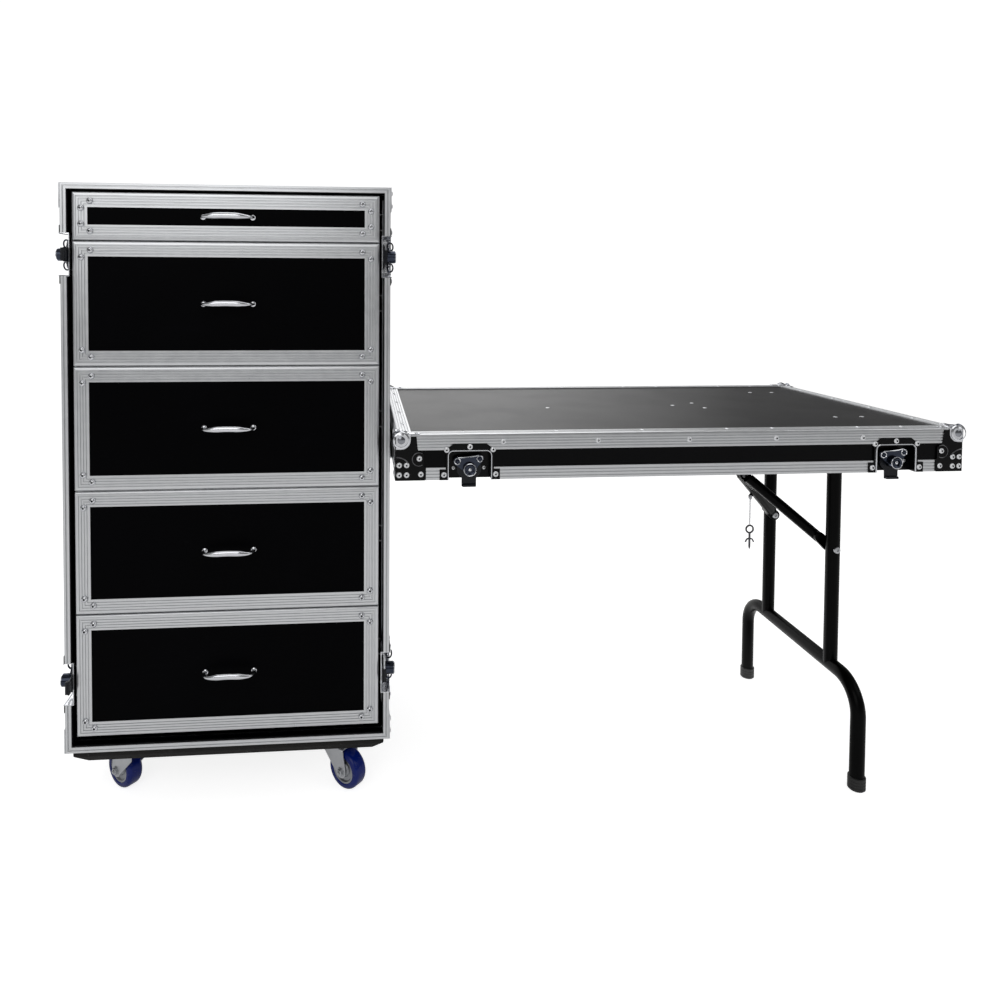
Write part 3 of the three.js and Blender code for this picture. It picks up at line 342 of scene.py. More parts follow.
# The black strip on the ledge is painted shade: a dark sheet where the ledge lies in shadow.
ledge_shade_section = [(rim_lip + ledge_shade_gap, -ledge_shade_drop), (rim_width, -ledge_shade_drop), (rim_width, -rim_ledge),
                (rim_lip + ledge_shade_gap, -rim_ledge)]
rim, ledge_shade_strip = shapes(2)
for start, end, inward in four_edges(at(case_left, case_front, case_low),
                                     at(case_right, case_front, case_high), X, Z):
    for shape, section in ((rim, rim_section), (ledge_shade_strip, ledge_shade_section)):
        rim_bar(shape, section, start, end, inward, -Y, inward.z == 0)
piece("front_rim_ledge_painted_shade", ledge_shade_strip, board_black)
ribbed_piece("front_rim_bars", rim, "case", ("front_rim",), "aluminium")


# Front corner plates. Folded steel plates in the edging's finish lap the rim's corners at the case's sides.
# Each is held by two plated screws with a sunk drive.
def turned(shape, profile, place, steps=24):
    """Adds a body of revolution. The profile is (radius, height) points round the place's own Z. It is closed
    to the axis where one of its ends lies there, and to its own start where neither does."""
    first, last = profile[0], profile[-1]
    if first[0] and last[0]:
        profile = profile + [first]
    elif first[0]:
        profile = [(0, first[1])] + profile
    elif last[0]:
        profile = profile + [(0, last[1])]
    known = set(shape.verts)
    verts = [shape.verts.new(place @ at(radius, 0, height)) for radius, height in profile]
    edges = [shape.edges.new(pair) for pair in zip(verts, verts[1:])]
    bmesh.ops.spin(shape, geom=verts + edges, cent=place.translation, axis=(place.to_3x3() @ Z).normalized(),
                   angle=math.tau, steps=steps, use_merge=True, use_duplicate=False)
    bmesh.ops.remove_doubles(shape, verts=[vert for vert in shape.verts if vert not in known], dist=1e-6)


def facing(place, outward):
    """A placing at a point whose own Z points outward."""
    return Matrix.Translation(place) @ outward.to_track_quat("Z", "Y").to_matrix().to_4x4()


def screw(shape, place, outward, radius=0.0050, height=0.0022):
    """Adds a domed screw head, whose sunk drive takes the piece's second material, a near-black painted
    shade.
    """
    before = set(shape.faces)
    turned(shape, [(0, -height * 0.3), (radius * 0.24, -height * 0.1), (radius * 0.34, height),
                   (radius * 0.5, height * 0.97), (radius * 0.8, height * 0.68), (radius, height * 0.1),
                   (radius, -height)], facing(place, outward), 12)
    for face in set(shape.faces) - before:
        face.material_index = int((face.calc_center_median() - place).cross(outward).length < radius * 0.3)


def screw_piece(name, shape, plating, body="case"):
    piece(name, shape, plating, body, second=drive_painted_shade)


def block(shape, corner, opposite, round_off=0.0):
    """Adds a box between two opposite corners, with its edges rounded off."""
    corner, opposite = Vector(corner), Vector(opposite)
    size = [abs(step) for step in opposite - corner]
    box = Matrix.Translation((corner + opposite) / 2) @ Matrix.Diagonal((*size, 1))
    verts = bmesh.ops.create_cube(shape, size=1, matrix=box)["verts"]
    if round_off:
        bevelled(shape, {edge for vert in verts for edge in vert.link_edges}, round_off, 2)


chrome = metal("chrome", (0.80, 0.81, 0.84), (0.66, 0.67, 0.70), 0.18, 30.0)
screw_plating = metal("screw_plating", (0.90, 0.91, 0.93), (0.74, 0.75, 0.77), 0.27, 90.0, 0.55)
zinc = metal("zinc", (0.62, 0.63, 0.65), (0.44, 0.45, 0.47), 0.38, 45.0)
# The drives' near-black is painted shade in the sunk recess.
drive_painted_shade = metal("screw_drive_painted_shade", (0.030, 0.030, 0.032), (0.012, 0.012, 0.013), 0.5, 200.0)
plate_reach, plate_screw, plate_round = 0.046, 0.011, 0.0006
plates, plate_screws = shapes(2)
for x, outward in ((case_left, -X), (case_right, X)):
    for low in (case_low, case_high - plate_reach):
        block(plates, at(x, case_front, low),
              at(x, case_front + rim_depth, low + plate_reach) + outward * corner_plate, plate_round)
        for z in (low + plate_screw, low + plate_reach - plate_screw):
            screw(plate_screws, at(x, case_front + rim_depth / 2, z) + outward * corner_plate, outward)
piece("case_corner_plates", plates, aluminium)
screw_piece("case_corner_screws", plate_screws, screw_plating)

# Edge angles. Ribbed aluminium angle with a rounded corner covers the case's long edges, with square ends at
# the rim, and the back's four edges, where it is mitred. The back's two uprights are each laid twice, in one
# place. Rivets hold the angle to the boards.
angle_leg, angle_sheet, angle_round, angle_grooves = 0.028, 0.0015, 0.0030, 4
rivet_inset, rivet_size = 0.017, (0.0035, 0.0012)


def angle_section(second_leg=angle_leg):
    """Section of an angle whose corner is at zero: one leg runs across, the second down from the face."""
    down = [(-level, -place) for place, level in reversed(ribs(angle_round, second_leg, angle_grooves))]
    bend = [(angle_round * (1 - math.cos(t)), angle_round * (math.sin(t) - 1))
            for t in (math.pi / 6, math.pi / 3)]
    return (down + bend + ribs(angle_round, angle_leg, angle_grooves)
            + [(angle_leg, -angle_sheet), (angle_sheet, -angle_sheet), (angle_sheet, -second_leg)])


def row(first, pitch, count):
    """Evenly spaced places along an edge."""
    return [first + pitch * number for number in range(count)]


angles, rivets = shapes(2)
start_y = case_front + rim_depth
for x, inward in ((case_left, X), (case_right, -X)):
    for z, outward in ((case_low, -Z), (case_high, Z)):
        bar(angles, angle_section(), at(x, start_y, z), at(x, case_back, z), inward, outward, (0, 0))
        bar(angles, angle_section(), at(x, case_back, case_low), at(x, case_back, case_high), inward, Y)
        for y in row(start_y + 0.04, 0.112, 5):
            if outward == Z:
                screw(rivets, at(x, y, z) + inward * rivet_inset, outward, *rivet_size)
            screw(rivets, at(x, y, z) - outward * rivet_inset, -inward, *rivet_size)
    for z in row(case_low + 0.06, 0.117, 9):
        screw(rivets, at(x, case_back, z) + inward * rivet_inset, Y, *rivet_size)
        screw(rivets, at(x, case_back, z) - Y * rivet_inset, -inward, *rivet_size)
for z, inward in ((case_low, Z), (case_high, -Z)):
    bar(angles, angle_section(), at(case_left, case_back, z), at(case_right, case_back, z), inward, Y)
    for x in row(case_left + 0.06, 0.12, 5):
        screw(rivets, at(x, case_back, z) + inward * rivet_inset, Y, *rivet_size)
ribbed_piece("case_edge_angles", angles, "case", ("edge_angles",), "aluminium")
screw_piece("case_rivets", rivets, zinc)


# Ball corners. Pressed steel balls, chromed, on three-sided skirts, cover the case's rear corners and the
# lid's top corners. The skirts have ears that are riveted to the edging. The case's lower ones are cut flat.
def slab(shape, outline, place, low, high, round_off=0.0, segments=1):
    """Adds a plate from low to high along the place's own Z. Its outline is (u, v) points across it."""
    near = [shape.verts.new(place @ at(u, v, low)) for u, v in outline]
    far = made(bmesh.ops.extrude_face_region(shape, geom=[shape.faces.new(near)]))
    bmesh.ops.translate(shape, verts=far, vec=place.to_3x3() @ at(0, 0, high - low))
    if round_off:
        bevelled(shape, {edge for vert in near + far for edge in vert.link_edges}, round_off, segments)


def round_points(centre, radius, first, last, steps=8):
    """Points of an arc in degrees, counted from the first angle to the last."""
    turns = [math.radians(first + (last - first) * step / steps) for step in range(steps + 1)]
    return [(centre[0] + radius * math.cos(turn), centre[1] + radius * math.sin(turn)) for turn in turns]


def placing(u, v, w, place):
    """A placing whose own X, Y and Z run along the three directions."""
    return Matrix.Translation(place) @ Matrix((u, v, w)).transposed().to_4x4()


# The balls take a darker chrome than the skirts, a painted dark reflection of the room around them.
ball_chrome_painted_dark_reflection = metal("ball_chrome_painted_dark_reflection", (0.42, 0.43, 0.46), (0.14, 0.15, 0.17), 0.15, 35.0)
ball_radius, ball_proud, skirt_sheet, skirt_round = 0.014, 0.0045, 0.0012, 0.0004
ear_reach, ear_width, ear_round, web_place, web_radius = 0.044, 0.0125, 0.004, 0.028, 0.0155
cup_radius, ear_rivets, ear_rivet_size = 0.0165, ((0.0365, 0.0062), (0.0062, 0.0365)), (0.0034, 0.0012)
ball_inset = ball_radius - ball_proud
ball_collar = [(ball_radius + 0.0016, 0), (ball_radius + 0.0006, 0.0022), (ball_radius - 0.002, 0.0030)]
ear_skirt = ([(0, 0), (ear_reach - 0.003, 0)]
             + round_points((ear_reach - ear_round, ear_width - ear_round), ear_round, 0, 90, 4)
             + round_points((web_place, web_place), web_radius, 270, 180, 6)
             + round_points((ear_width - ear_round, ear_reach - ear_round), ear_round, 0, 90, 4)
             + [(0, ear_reach)])
cup_skirt = ([(0, 0), (ball_inset + cup_radius, 0)]
             + round_points((ball_inset, ball_inset), cup_radius, 0, 90, 8) + [(0, ball_inset + cup_radius)])


def ball_corner(shape, rivets, corner, signs, eared=(True, True, True), raised=(0, 0, 0)):
    """Adds a ball corner at a box corner whose outward directions are the three signs."""
    outward = [X * signs[0], Y * signs[1], Z * signs[2]]
    centre = corner - (outward[0] + outward[1] + outward[2]) * ball_inset
    bmesh.ops.create_uvsphere(shape, u_segments=28, v_segments=18, radius=ball_radius,
                              matrix=Matrix.Translation(centre))
    # The ball takes the second material, the darker chrome with its painted dark reflection.
    for face in shape.faces:
        face.material_index = 1
    for index, axis in enumerate(outward):
        first, second = [item for item in outward if item != axis]
        base = placing(-first, -second, axis, corner + axis * raised[index])
        slab(shape, ear_skirt if eared[index] else cup_skirt, base, 0, skirt_sheet, skirt_round)
        turned(shape, ball_collar, base @ Matrix.Translation((ball_inset, ball_inset, 0)), 28)
        for spot in ear_rivets if eared[index] else ():
            screw(rivets, base @ at(*spot, skirt_sheet), axis, *ear_rivet_size)


for level, z, sign_z in (("lower", case_low, -1), ("upper", case_high, 1)):
    for side, x, sign_x in (("left", case_left, -1), ("right", case_right, 1)):
        corner_shapes = shapes(2)
        ball_corner(*corner_shapes, at(x, case_back, z), (sign_x, 1, sign_z))
        for shape in corner_shapes if level == "lower" else ():
            cut = bmesh.ops.bisect_plane(shape, geom=shape.verts[:] + shape.edges[:] + shape.faces[:],
                                         plane_co=(0, 0, case_low), plane_no=(0, 0, -1), clear_outer=True)
            bmesh.ops.holes_fill(shape, edges=made(cut, bmesh.types.BMEdge, "geom_cut"))
            bmesh.ops.dissolve_degenerate(shape, edges=shape.edges[:], dist=1e-6)
        piece(f"case_ball_{level}_{side}", corner_shapes[0], chrome, second=ball_chrome_painted_dark_reflection)
        screw_piece(f"case_ball_rivets_{level}_{side}", corner_shapes[1], zinc)


# Dolly board. A plywood board with chamfered underside, covered in black carpet, carries four caster plates.
# Each plate is pressed steel, zinc plated, with four bolts and the caster's ball race under it.
def carpet(name):
    finish = Finish(name)
    pile = finish.spots(900.0, detail=3.0)
    lint = finish.spots(160.0, detail=5.0, sharp=(0.66, 0.74))
    scuff = finish.spots(24.0, detail=4.0, stretch=(1, 1, 0.4), sharp=(0.6, 0.76))
    colour = finish.tint(pile * 0.4 + lint * 0.5 + scuff * 0.35, (0.006, 0.006, 0.006), (0.11, 0.105, 0.10))
    return finish.surface(colour, pile * 0.1 + 0.85, pile, 0.0016, Specular_IOR_Level=0.2)


def hex_bolt(shape, place, outward, radius, height, chamfer=0.0008, sunk=0.0002):
    turned(shape, [(0, height), (radius - chamfer, height), (radius, height - 0.0008), (radius, -sunk)],
           facing(place, outward), 6)


board_low, board_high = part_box("dolly_board")
board_chamfer, board_round, race_height, plate_sheet = 0.021, 0.0015, 0.0037, 0.004
board_bottom = board_low.z + race_height + plate_sheet
board = bmesh.new()
block(board, at(board_low.x, board_low.y, board_bottom), board_high)
bevelled(board, [edge for edge in board.edges if all(abs(vert.co.z - board_bottom) < 1e-6
                                                     for vert in edge.verts)], board_chamfer)
bevelled(board, board.edges, board_round, 2)
piece("dolly_board_carpeted", board, carpet("carpet"), "case", ("dolly_board",), "board_paint")

caster_inset = at(0.102, 0.076, 0)
caster_turns = {"front_left": 140, "front_right": -42, "rear_left": 118, "rear_right": 70}
caster_places = {}
for name, turn in caster_turns.items():
    x = case_right - caster_inset.x if "right" in name else case_left + caster_inset.x
    y = case_back - caster_inset.y if "rear" in name else case_front + caster_inset.y
    caster_places[name] = Matrix.Translation((x, y, 0)) @ Matrix.Rotation(math.radians(turn), 4, "Z")
plate_long, plate_wide, bolt_inset = 0.0475, 0.035, 0.011
plate_race = [(0, -race_height), (0.021, -race_height), (0.025, -0.001), (0.025, 0.0003), (0, 0.0003)]
caster_plates, caster_bolts = shapes(2)
for place in caster_places.values():
    under = place.translation + Z * (board_bottom - plate_sheet)
    block(caster_plates, under - at(plate_long, plate_wide, 0),
          under + at(plate_long, plate_wide, plate_sheet), 0.001)
    turned(caster_plates, plate_race, Matrix.Translation(under), 28)
    for x in (bolt_inset - plate_long, plate_long - bolt_inset):
        for y in (bolt_inset - plate_wide, plate_wide - bolt_inset):
            hex_bolt(caster_bolts, under + at(x, y, 0), -Z, 0.0065, 0.005, 0.001, 0.001)
piece("caster_plates", caster_plates, zinc, slot="zinc")
piece("caster_plate_bolts", caster_bolts, zinc)


# Casters. Each swivels on its race: a pressed zinc fork holds a cast wheel with a moulded blue polyurethane
# tread on a steel axle bolt with nuts.
def rubbery(name, colour, dark, roughness, **fixed):
    finish = Finish(name)
    cloud = finish.spots(35.0, detail=4.0)
    scuff = finish.spots(160.0, detail=4.0, sharp=(0.58, 0.75))
    return finish.surface(finish.tint(cloud * 0.5 + scuff * 0.25, colour, dark), scuff * 0.25 + roughness,
                          cloud, 0.0001, **fixed)


def mirrored(half, u=1, v=-1):
    """A profile followed by its mirror image, or with -1 and 1 an outline followed by its own."""
    return half + [(a * u, b * v) for a, b in reversed(half)]


blue = rubbery("polyurethane_blue", (0.001, 0.014, 0.19), (0.001, 0.006, 0.09), 0.22, Specular_IOR_Level=0.3)
hub_grey = metal("hub_grey", (0.46, 0.47, 0.49), (0.30, 0.31, 0.33), 0.42)
wheel_radius, wheel_half, trail, tread_round = 0.0375, 0.016, 0.030, 0.008
hub_radius, rim_ring, axle_radius, boss_radius = 0.0225, 0.0255, 0.0038, 0.0125
fork_half, fork_sheet, crown, crown_back, crown_front = wheel_half + 0.0025, 0.003, 0.079, -0.020, 0.034
tread_profile = mirrored([(rim_ring, wheel_half - 0.0015), (rim_ring + 0.0012, wheel_half)]
                         + [(wheel_radius - tread_round + r, h) for r, h in
                            round_points((0, wheel_half - tread_round), tread_round, 90, 0, 6)])
hub_profile = mirrored([(radius, wheel_half - drop) for radius, drop in
                        ((0.0045, 0.0005), (0.0105, 0.0005), (0.0120, 0.0015), (0.0140, 0.0045),
                         (0.0205, 0.0045), (hub_radius, 0.0015), (rim_ring, 0.0015))])
fork_leg = round_points((trail, wheel_radius), boss_radius, 205, 360, 8) + [
    (trail + boss_radius, wheel_radius + 0.006), (0.036, crown - 0.006), (crown_front, crown + fork_sheet),
    (crown_back, crown + fork_sheet), (crown_back, crown - 0.006)]
deck_half = fork_half + 0.001
deck = mirrored([(crown_back, -deck_half), (crown_front, -deck_half)])
race = [(0, -0.003), (0.0245, -0.003), (0.0258, -0.0012), (0.0258, 0.0002), (0.0235, 0.0012), (0, 0.0012)]
kingpin = [(0, -0.009), (0.008, -0.009), (0.009, -0.008), (0.009, -0.0025), (0, -0.0025)]
axle_nut = [(0, 0.0072), (0.0028, 0.0072), (0.0036, 0.0062), (0.0036, 0.0048), (0.0060, 0.0048),
            (0.0070, 0.0040), (0.0070, -0.0005)]
washer = [(0.0030, 0.0), (0.0030, 0.0012), (0.0085, 0.0012), (0.0088, 0.0), (0.0088, -0.0004)]
for name, place in caster_places.items():
    axle = place @ Matrix.Translation((trail, 0, wheel_radius)) @ Matrix.Rotation(math.radians(-90), 4, "X")
    tread, hub, fork = shapes(3)
    turned(tread, tread_profile, axle, 40)
    turned(hub, hub_profile, axle, 36)
    piece(f"caster_tread_{name}", tread, blue, f"wheel_{name}", (f"caster_wheel_{name}",), "wheel_blue")
    piece(f"caster_hub_{name}", hub, hub_grey, f"wheel_{name}")
    upright = place @ Matrix.Rotation(math.radians(90), 4, "X")
    for low in (-fork_half - fork_sheet, fork_half):
        slab(fork, fork_leg, upright, low, low + fork_sheet, 0.0008)
    slab(fork, deck, place, crown, crown + fork_sheet, 0.0006)
    race_place = place @ Matrix.Translation((0, 0, crown + fork_sheet))
    turned(fork, race, race_place, 28)
    turned(fork, kingpin, race_place, 18)
    for flip in (0, math.pi):
        nut = axle @ Matrix.Rotation(flip, 4, "X") @ Matrix.Translation((0, 0, fork_half + fork_sheet))
        turned(fork, axle_nut, nut, 6)
        turned(fork, washer, nut, 20)
    turned(fork, mirrored([(0, -fork_half), (axle_radius, -fork_half)]), axle, 14)
    piece(f"caster_fork_pressed_{name}", fork, zinc, f"fork_{name}", (f"caster_fork_{name}",), "zinc")


# Drawers. Each front is a laminated board in mitred, ribbed aluminium angle with two screws at each mitre. A
# chromed bow handle stands on it on two round feet. The boards and trays behind are kept from the frame.
def bent(shape, points, radius, sides=12, closed=False):
    """Adds a round bar along a path of points."""
    curve = bpy.data.curves.new("path", "CURVE")
    curve.dimensions, curve.bevel_depth, curve.use_fill_caps = "3D", radius, not closed
    curve.bevel_resolution = max(sides // 4 - 1, 0)
    spline = curve.splines.new("POLY")
    spline.points.add(len(points) - 1)
    for slot, point in zip(spline.points, points):
        slot.co = (*point, 1)
    spline.use_cyclic_u = closed
    holder = bpy.data.objects.new("path", curve)
    shape.from_mesh(holder.to_mesh())
    holder.to_mesh_clear()
    bpy.data.objects.remove(holder)
    bpy.data.curves.remove(curve)


def smooth_path(points, steps):
    """Points of a smooth curve that passes through the given ones."""
    ends = [points[0] * 2 - points[1]] + points + [points[-1] * 2 - points[-2]]
    path = []
    for before, first, second, after in zip(ends, ends[1:], ends[2:], ends[3:]):
        for t in [step / steps for step in range(steps)]:
            path.append(0.5 * (2 * first + (second - before) * t
                               + (2 * before - 5 * first + 4 * second - after) * t ** 2
                               + (3 * first - before - 3 * second + after) * t ** 3))
    return path + [points[-1]]


front_edging_leg = 0.0138
mitre_screws, mitre_screw_size = ((0.0325, 0.0165), (0.0165, 0.0295)), (0.0063, 0.0042)
handle_half, handle_reach, handle_rod, foot_radius = 0.045, 0.026, 0.004, 0.0050
thin_share, swell_share, taper_share = 0.62, 1.45, 1.9
bow_side = [at(handle_half, 0.001, 0), at(handle_half, -0.012, 0),
            at(handle_half * 0.87, handle_rod - handle_reach, 0),
            at(handle_half * 0.5, -handle_reach, 0.0008)]
bow = [at(-x, y, z) for x, y, z in bow_side] + [at(0, -handle_reach, 0.0012)] + bow_side[::-1]
handle_foot = [(0, 0.0042), (foot_radius - 0.0015, 0.0042), (foot_radius, 0.0030), (foot_radius, -0.0003)]
for number in range(1, 6):
    body = f"drawer_{number}"
    low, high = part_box(f"{body}_frame")
    edging, screws, handle = shapes(3)
    for start, end, inward in four_edges(low, at(high.x, low.y, high.z), X, Z):
        bar(edging, angle_section(front_edging_leg), start, end, inward, -Y)
    for x, way_x in ((low.x, 1), (high.x, -1)):
        for z, way_z in ((low.z, 1), (high.z, -1)):
            for across, aloft in mitre_screws:
                screw(screws, at(x + way_x * across, low.y, z + way_z * aloft), -Y, *mitre_screw_size)
    ribbed_piece(f"{body}_edging", edging, body, (f"{body}_frame",), "aluminium")
    screw_piece(f"{body}_screws", screws, chrome, body)
    middle = at((low.x + high.x) / 2, low.y + hull_inset, (low.z + high.z) / 2)
    bent(handle, [middle + point for point in smooth_path(bow, 5)], handle_rod, 16)
    for vert in handle.verts:
        taper = min(1.0, max(0.0, taper_share * (1 - abs(vert.co.x - middle.x) / handle_half)))
        vert.co.z = middle.z + (vert.co.z - middle.z) * (thin_share + (swell_share - thin_share) * taper)
    for foot in (-handle_half, handle_half):
        turned(handle, handle_foot, facing(middle + X * foot, -Y), 20)
    piece(f"{body}_bow_handle", handle, chrome, body, (f"{body}_handle",), "chrome", 50)


# Slide rack. Folded from zinc-plated strip, welded, and screwed inside the case's boards. Its channels hold
# the drawers' runners.
refinish(zinc, "slide_rack")


# Butterfly latches. A pressed dish sits in each recess behind a black face plate with a rolled bead; a plated
# wing on a hub turns and draws a black hook over the other half. On the case the dishes are chromed, the hubs
# stand taller and each lobe of a wing has a finger loop.
def gloss_black(name, base=(0.0010, 0.0011, 0.0014), roughness=0.24, gloss=0.14):
    finish = Finish(name)
    orange_peel = finish.spots(420.0, detail=2.0)
    dust = finish.spots(30.0, detail=5.0, sharp=(0.55, 0.85))
    return finish.surface(finish.tint(dust * 0.45, base, (0.007, 0.0072, 0.008)), dust * 0.2 + roughness,
                          orange_peel, 0.00006, Specular_IOR_Level=gloss)


def loop_path(centre, u, v, steps):
    """Points of a closed ring whose half axes are u and v."""
    turns = [math.tau * step / steps for step in range(steps)]
    return [centre + u * math.cos(turn) + v * math.sin(turn) for turn in turns]


def moved(place, points):
    return [place @ point for point in points]


black_steel = gloss_black("black_steel")
hook_blue = gloss_black("hook_steel", (0.0030, 0.0042, 0.0078), 0.26, 0.3)
# The wing plate and hub are a dark blue-black metal, a painted dark reflection on chrome; the trim stays
# bright chrome.
wing_painted_dark_reflection = metal("wing_painted_dark_reflection", (0.070, 0.080, 0.110), (0.020, 0.024, 0.036), 0.20, 70.0)
tub_half, tub_reach, tub_depth, tub_sheet, tub_round = 0.0385, 0.0516, 0.015, 0.0012, 0.009
face_sheet, plate_half, shoulder_half, shoulder_reach = 0.0015, 0.0536, 0.0428, 0.0536
ear_height, crown_half, crown_reach, pivot_reach = 0.0187, 0.0295, 0.0638, 0.018
recess = mirrored([(tub_half, 0)] + round_points((tub_half - tub_round, tub_reach - tub_round), tub_round,
                                                 0, 90, 5), -1, 1)
face_plate = mirrored([(-plate_half, 0), (-plate_half, ear_height), (-shoulder_half, ear_height),
                       (-shoulder_half, shoulder_reach), (-crown_half, crown_reach)], -1, 1) + recess
plate_screws = ((-0.0412, 0.0532), (0.0412, 0.0532), (0, 0.0584), (-0.0459, 0.0093), (0.0459, 0.0093))
tub_screws, tub_screw_size = ((-0.0275, 0.0175), (0.0275, 0.0175)), (0.0034, 0.0014)
lid_tray_low, lid_tray_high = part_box("lid_tray")
lid_left, lid_right = lid_tray_low.x - hull_inset, lid_tray_high.x + hull_inset
lid_near, lid_far = lid_tray_low.y - hull_inset, lid_tray_high.y + hull_inset
table_top, lid_height = lid_tray_high.z + hull_inset, 0.081
lid_bottom = table_top - lid_height
latches = {}
for level, z in (("lower", case_low + latch_inset), ("upper", case_high - latch_inset)):
    latches[f"case_{level}_left"] = placing(-Z, Y, X, at(case_left, case_front, z))
    latches[f"case_{level}_right"] = placing(Z, Y, -X, at(case_right, case_front, z))
for end, x in (("inner", lid_left + latch_inset), ("outer", lid_right - latch_inset)):
    latches[f"lid_near_{end}"] = placing(-X, Z, Y, at(x, lid_near, lid_bottom))
    latches[f"lid_far_{end}"] = placing(X, Z, -Y, at(x, lid_far, lid_bottom))

low_hub = [(0, -0.0030), (0.0022, -0.0036), (0.0030, -0.0030), (0.0034, -0.0018), (0.0058, -0.0018),
           (0.0063, -0.0040), (0.0080, -0.0050), (0.0104, -0.0046), (0.0112, -0.0034), (0.0112, 0.0070)]
tall_hub = [(0, -0.0100), (0.0030, -0.0104), (0.0104, -0.0104), (0.0118, -0.0090), (0.0118, 0.0070)]
hub_rise, lid_wing_tilt = -0.0054, -6
hub_ring = [(0.0098, -0.0047), (0.0106, -0.0056), (0.0114, -0.0047), (0.0114, -0.0036), (0.0098, -0.0036)]
hub_pin = [(0, -0.0046), (0.0018, -0.0044), (0.0028, -0.0036), (0.0028, -0.0030)]
eye_pin = [(0, -0.0022), (0.0018, -0.0020), (0.0026, -0.0012), (0.0030, 0.0002)]
eye_ring = [(0.0042, 0.0002), (0.0044, -0.0014), (0.0052, -0.0020), (0.0060, -0.0014), (0.0062, 0.0002)]
finger_loop = loop_path(at(0, 0, -0.0036), at(0.0078, 0.0022, 0), at(0, 0, -0.0052), 20)
lobe_side, lobe_up, lobe_radius, wing_level, wing_sheet = 0.020, 0.034, 0.0072, 0.003, 0.002
wing_outline = (round_points((0, pivot_reach), 0.0098, 205, 335, 8)
                + mirrored(round_points((lobe_side, lobe_up), lobe_radius, -45, 88, 7), -1, 1))
ridge = [at(x, y, wing_level - rise) for x, y, rise in
         ((lobe_side * 0.92, 0.0405, 0.0006), (0.008, 0.0402, 0.0022),
          (-0.008, 0.0402, 0.0022), (-lobe_side * 0.92, 0.0405, 0.0006))]
hook_foot, hook_back, hook_front = -0.0148, 0.0105, 0.0135
lip_half, lip_height, lip_back, lip_front = 0.012, -0.0105, 0.0060, 0.0110
hook_outline = ([(-0.013, hook_foot), (0.013, hook_foot), (0.013, -0.001)]
                + mirrored(round_points((0.020, -0.001), 0.007, 180, 110, 4)
                           + [(0.0225, 0.012), (0.0225, 0.024), (0.013, 0.031)], -1, 1))
hook_lip = [(-lip_half, hook_foot), (lip_half, hook_foot), (lip_half, lip_height), (-lip_half, lip_height)]
for name, place in latches.items():
    on_case = name.startswith("case")
    body = "case" if on_case else "table"
    inwards = place.to_3x3() @ Z
    dish, tub, bead, dish_screws = shapes(4)
    slab(dish, face_plate, place, -face_sheet, 0, 0.0003)
    floor = tub.faces.new([tub.verts.new(place @ at(u, v, tub_depth)) for u, v in recess])
    mouth = {floor.verts[0], floor.verts[len(recess) - 1]}
    rest = [edge for edge in floor.edges if set(edge.verts) != mouth]
    brim = made(bmesh.ops.extrude_edge_only(tub, edges=rest))
    bmesh.ops.translate(tub, verts=brim, vec=-inwards * (tub_depth + face_sheet / 2))
    bmesh.ops.recalc_face_normals(tub, faces=tub.faces)
    if floor.normal.dot(inwards) > 0:
        bmesh.ops.reverse_faces(tub, faces=tub.faces)
    bmesh.ops.solidify(tub, geom=tub.faces[:], thickness=tub_sheet)
    bent(bead, [place @ at(u, v, -face_sheet) for u, v in recess], 0.0012, 10)
    for u, v in plate_screws:
        screw(dish_screws, place @ at(u, v, -face_sheet), -inwards)
    for u, v in tub_screws:
        screw(dish_screws, place @ at(u, v, tub_depth), -inwards, *tub_screw_size)
    piece(f"latch_plate_{name}", dish, black_steel, body)
    piece(f"latch_tub_{name}", tub, chrome if on_case else black_steel, body)
    piece(f"latch_bead_{name}", bead, chrome, body)
    screw_piece(f"latch_screws_{name}", dish_screws, screw_plating, body)

    tilt = Matrix.Rotation(math.radians(0 if on_case else lid_wing_tilt), 4, "Z")
    pivot = place @ Matrix.Translation((0, pivot_reach, 0)) @ tilt
    wing_place = pivot @ Matrix.Translation((0, -pivot_reach, 0))
    cap = pivot @ Matrix.Translation((0, 0, hub_rise if on_case else 0))
    wing, trim, hook = shapes(3)
    turned(wing, tall_hub if on_case else low_hub, pivot, 28)
    turned(trim, hub_ring, cap, 28)
    turned(trim, hub_pin, cap, 16)
    slab(wing, wing_outline, wing_place, wing_level, wing_level + wing_sheet, 0.0005)
    for side in (-lobe_side, lobe_side):
        eye = wing_place @ Matrix.Translation((side, lobe_up, wing_level))
        turned(wing, eye_pin, eye, 12)
        turned(trim, eye_ring, eye, 20)
        if on_case:
            bent(wing, moved(eye, finger_loop), 0.0016, 8, closed=True)
    bent(trim, moved(wing_place, smooth_path(ridge, 4)), 0.0010, 8)
    # The wing plate and hub take the darker metal, a painted dark reflection.
    piece(f"latch_wing_plated_{name}", wing, wing_painted_dark_reflection, f"wing_{name}", (f"latch_wing_{name}",), "chrome")
    piece(f"latch_wing_trim_{name}", trim, chrome, f"wing_{name}")
    slab(hook, hook_outline, place, hook_back, hook_front, 0.0006)
    slab(hook, hook_lip, place, lip_back, lip_front, 0.0006)
    fixed = name.startswith("lid_far")
    piece(f"latch_hook_black_{name}", hook, hook_blue, body if fixed else f"hook_{name}",
          () if fixed else (f"latch_hook_{name}",), "black_steel")


# Side handles. A black pressed dish is let into each side board and screwed to it; a sprung bar grip with a
# rubber sleeve hangs in it between two ears.
def rounded_loop(half_u, half_v, corner, level):
    """Points of a rectangle with round corners, at a level."""
    points = []
    for sign_u, sign_v, first in ((1, 1, 0), (-1, 1, 90), (-1, -1, 180), (1, -1, 270)):
        points += round_points((sign_u * (half_u - corner), sign_v * (half_v - corner)), corner, first,
                               first + 90, 5)
    return [at(u, v, level) for u, v in points]


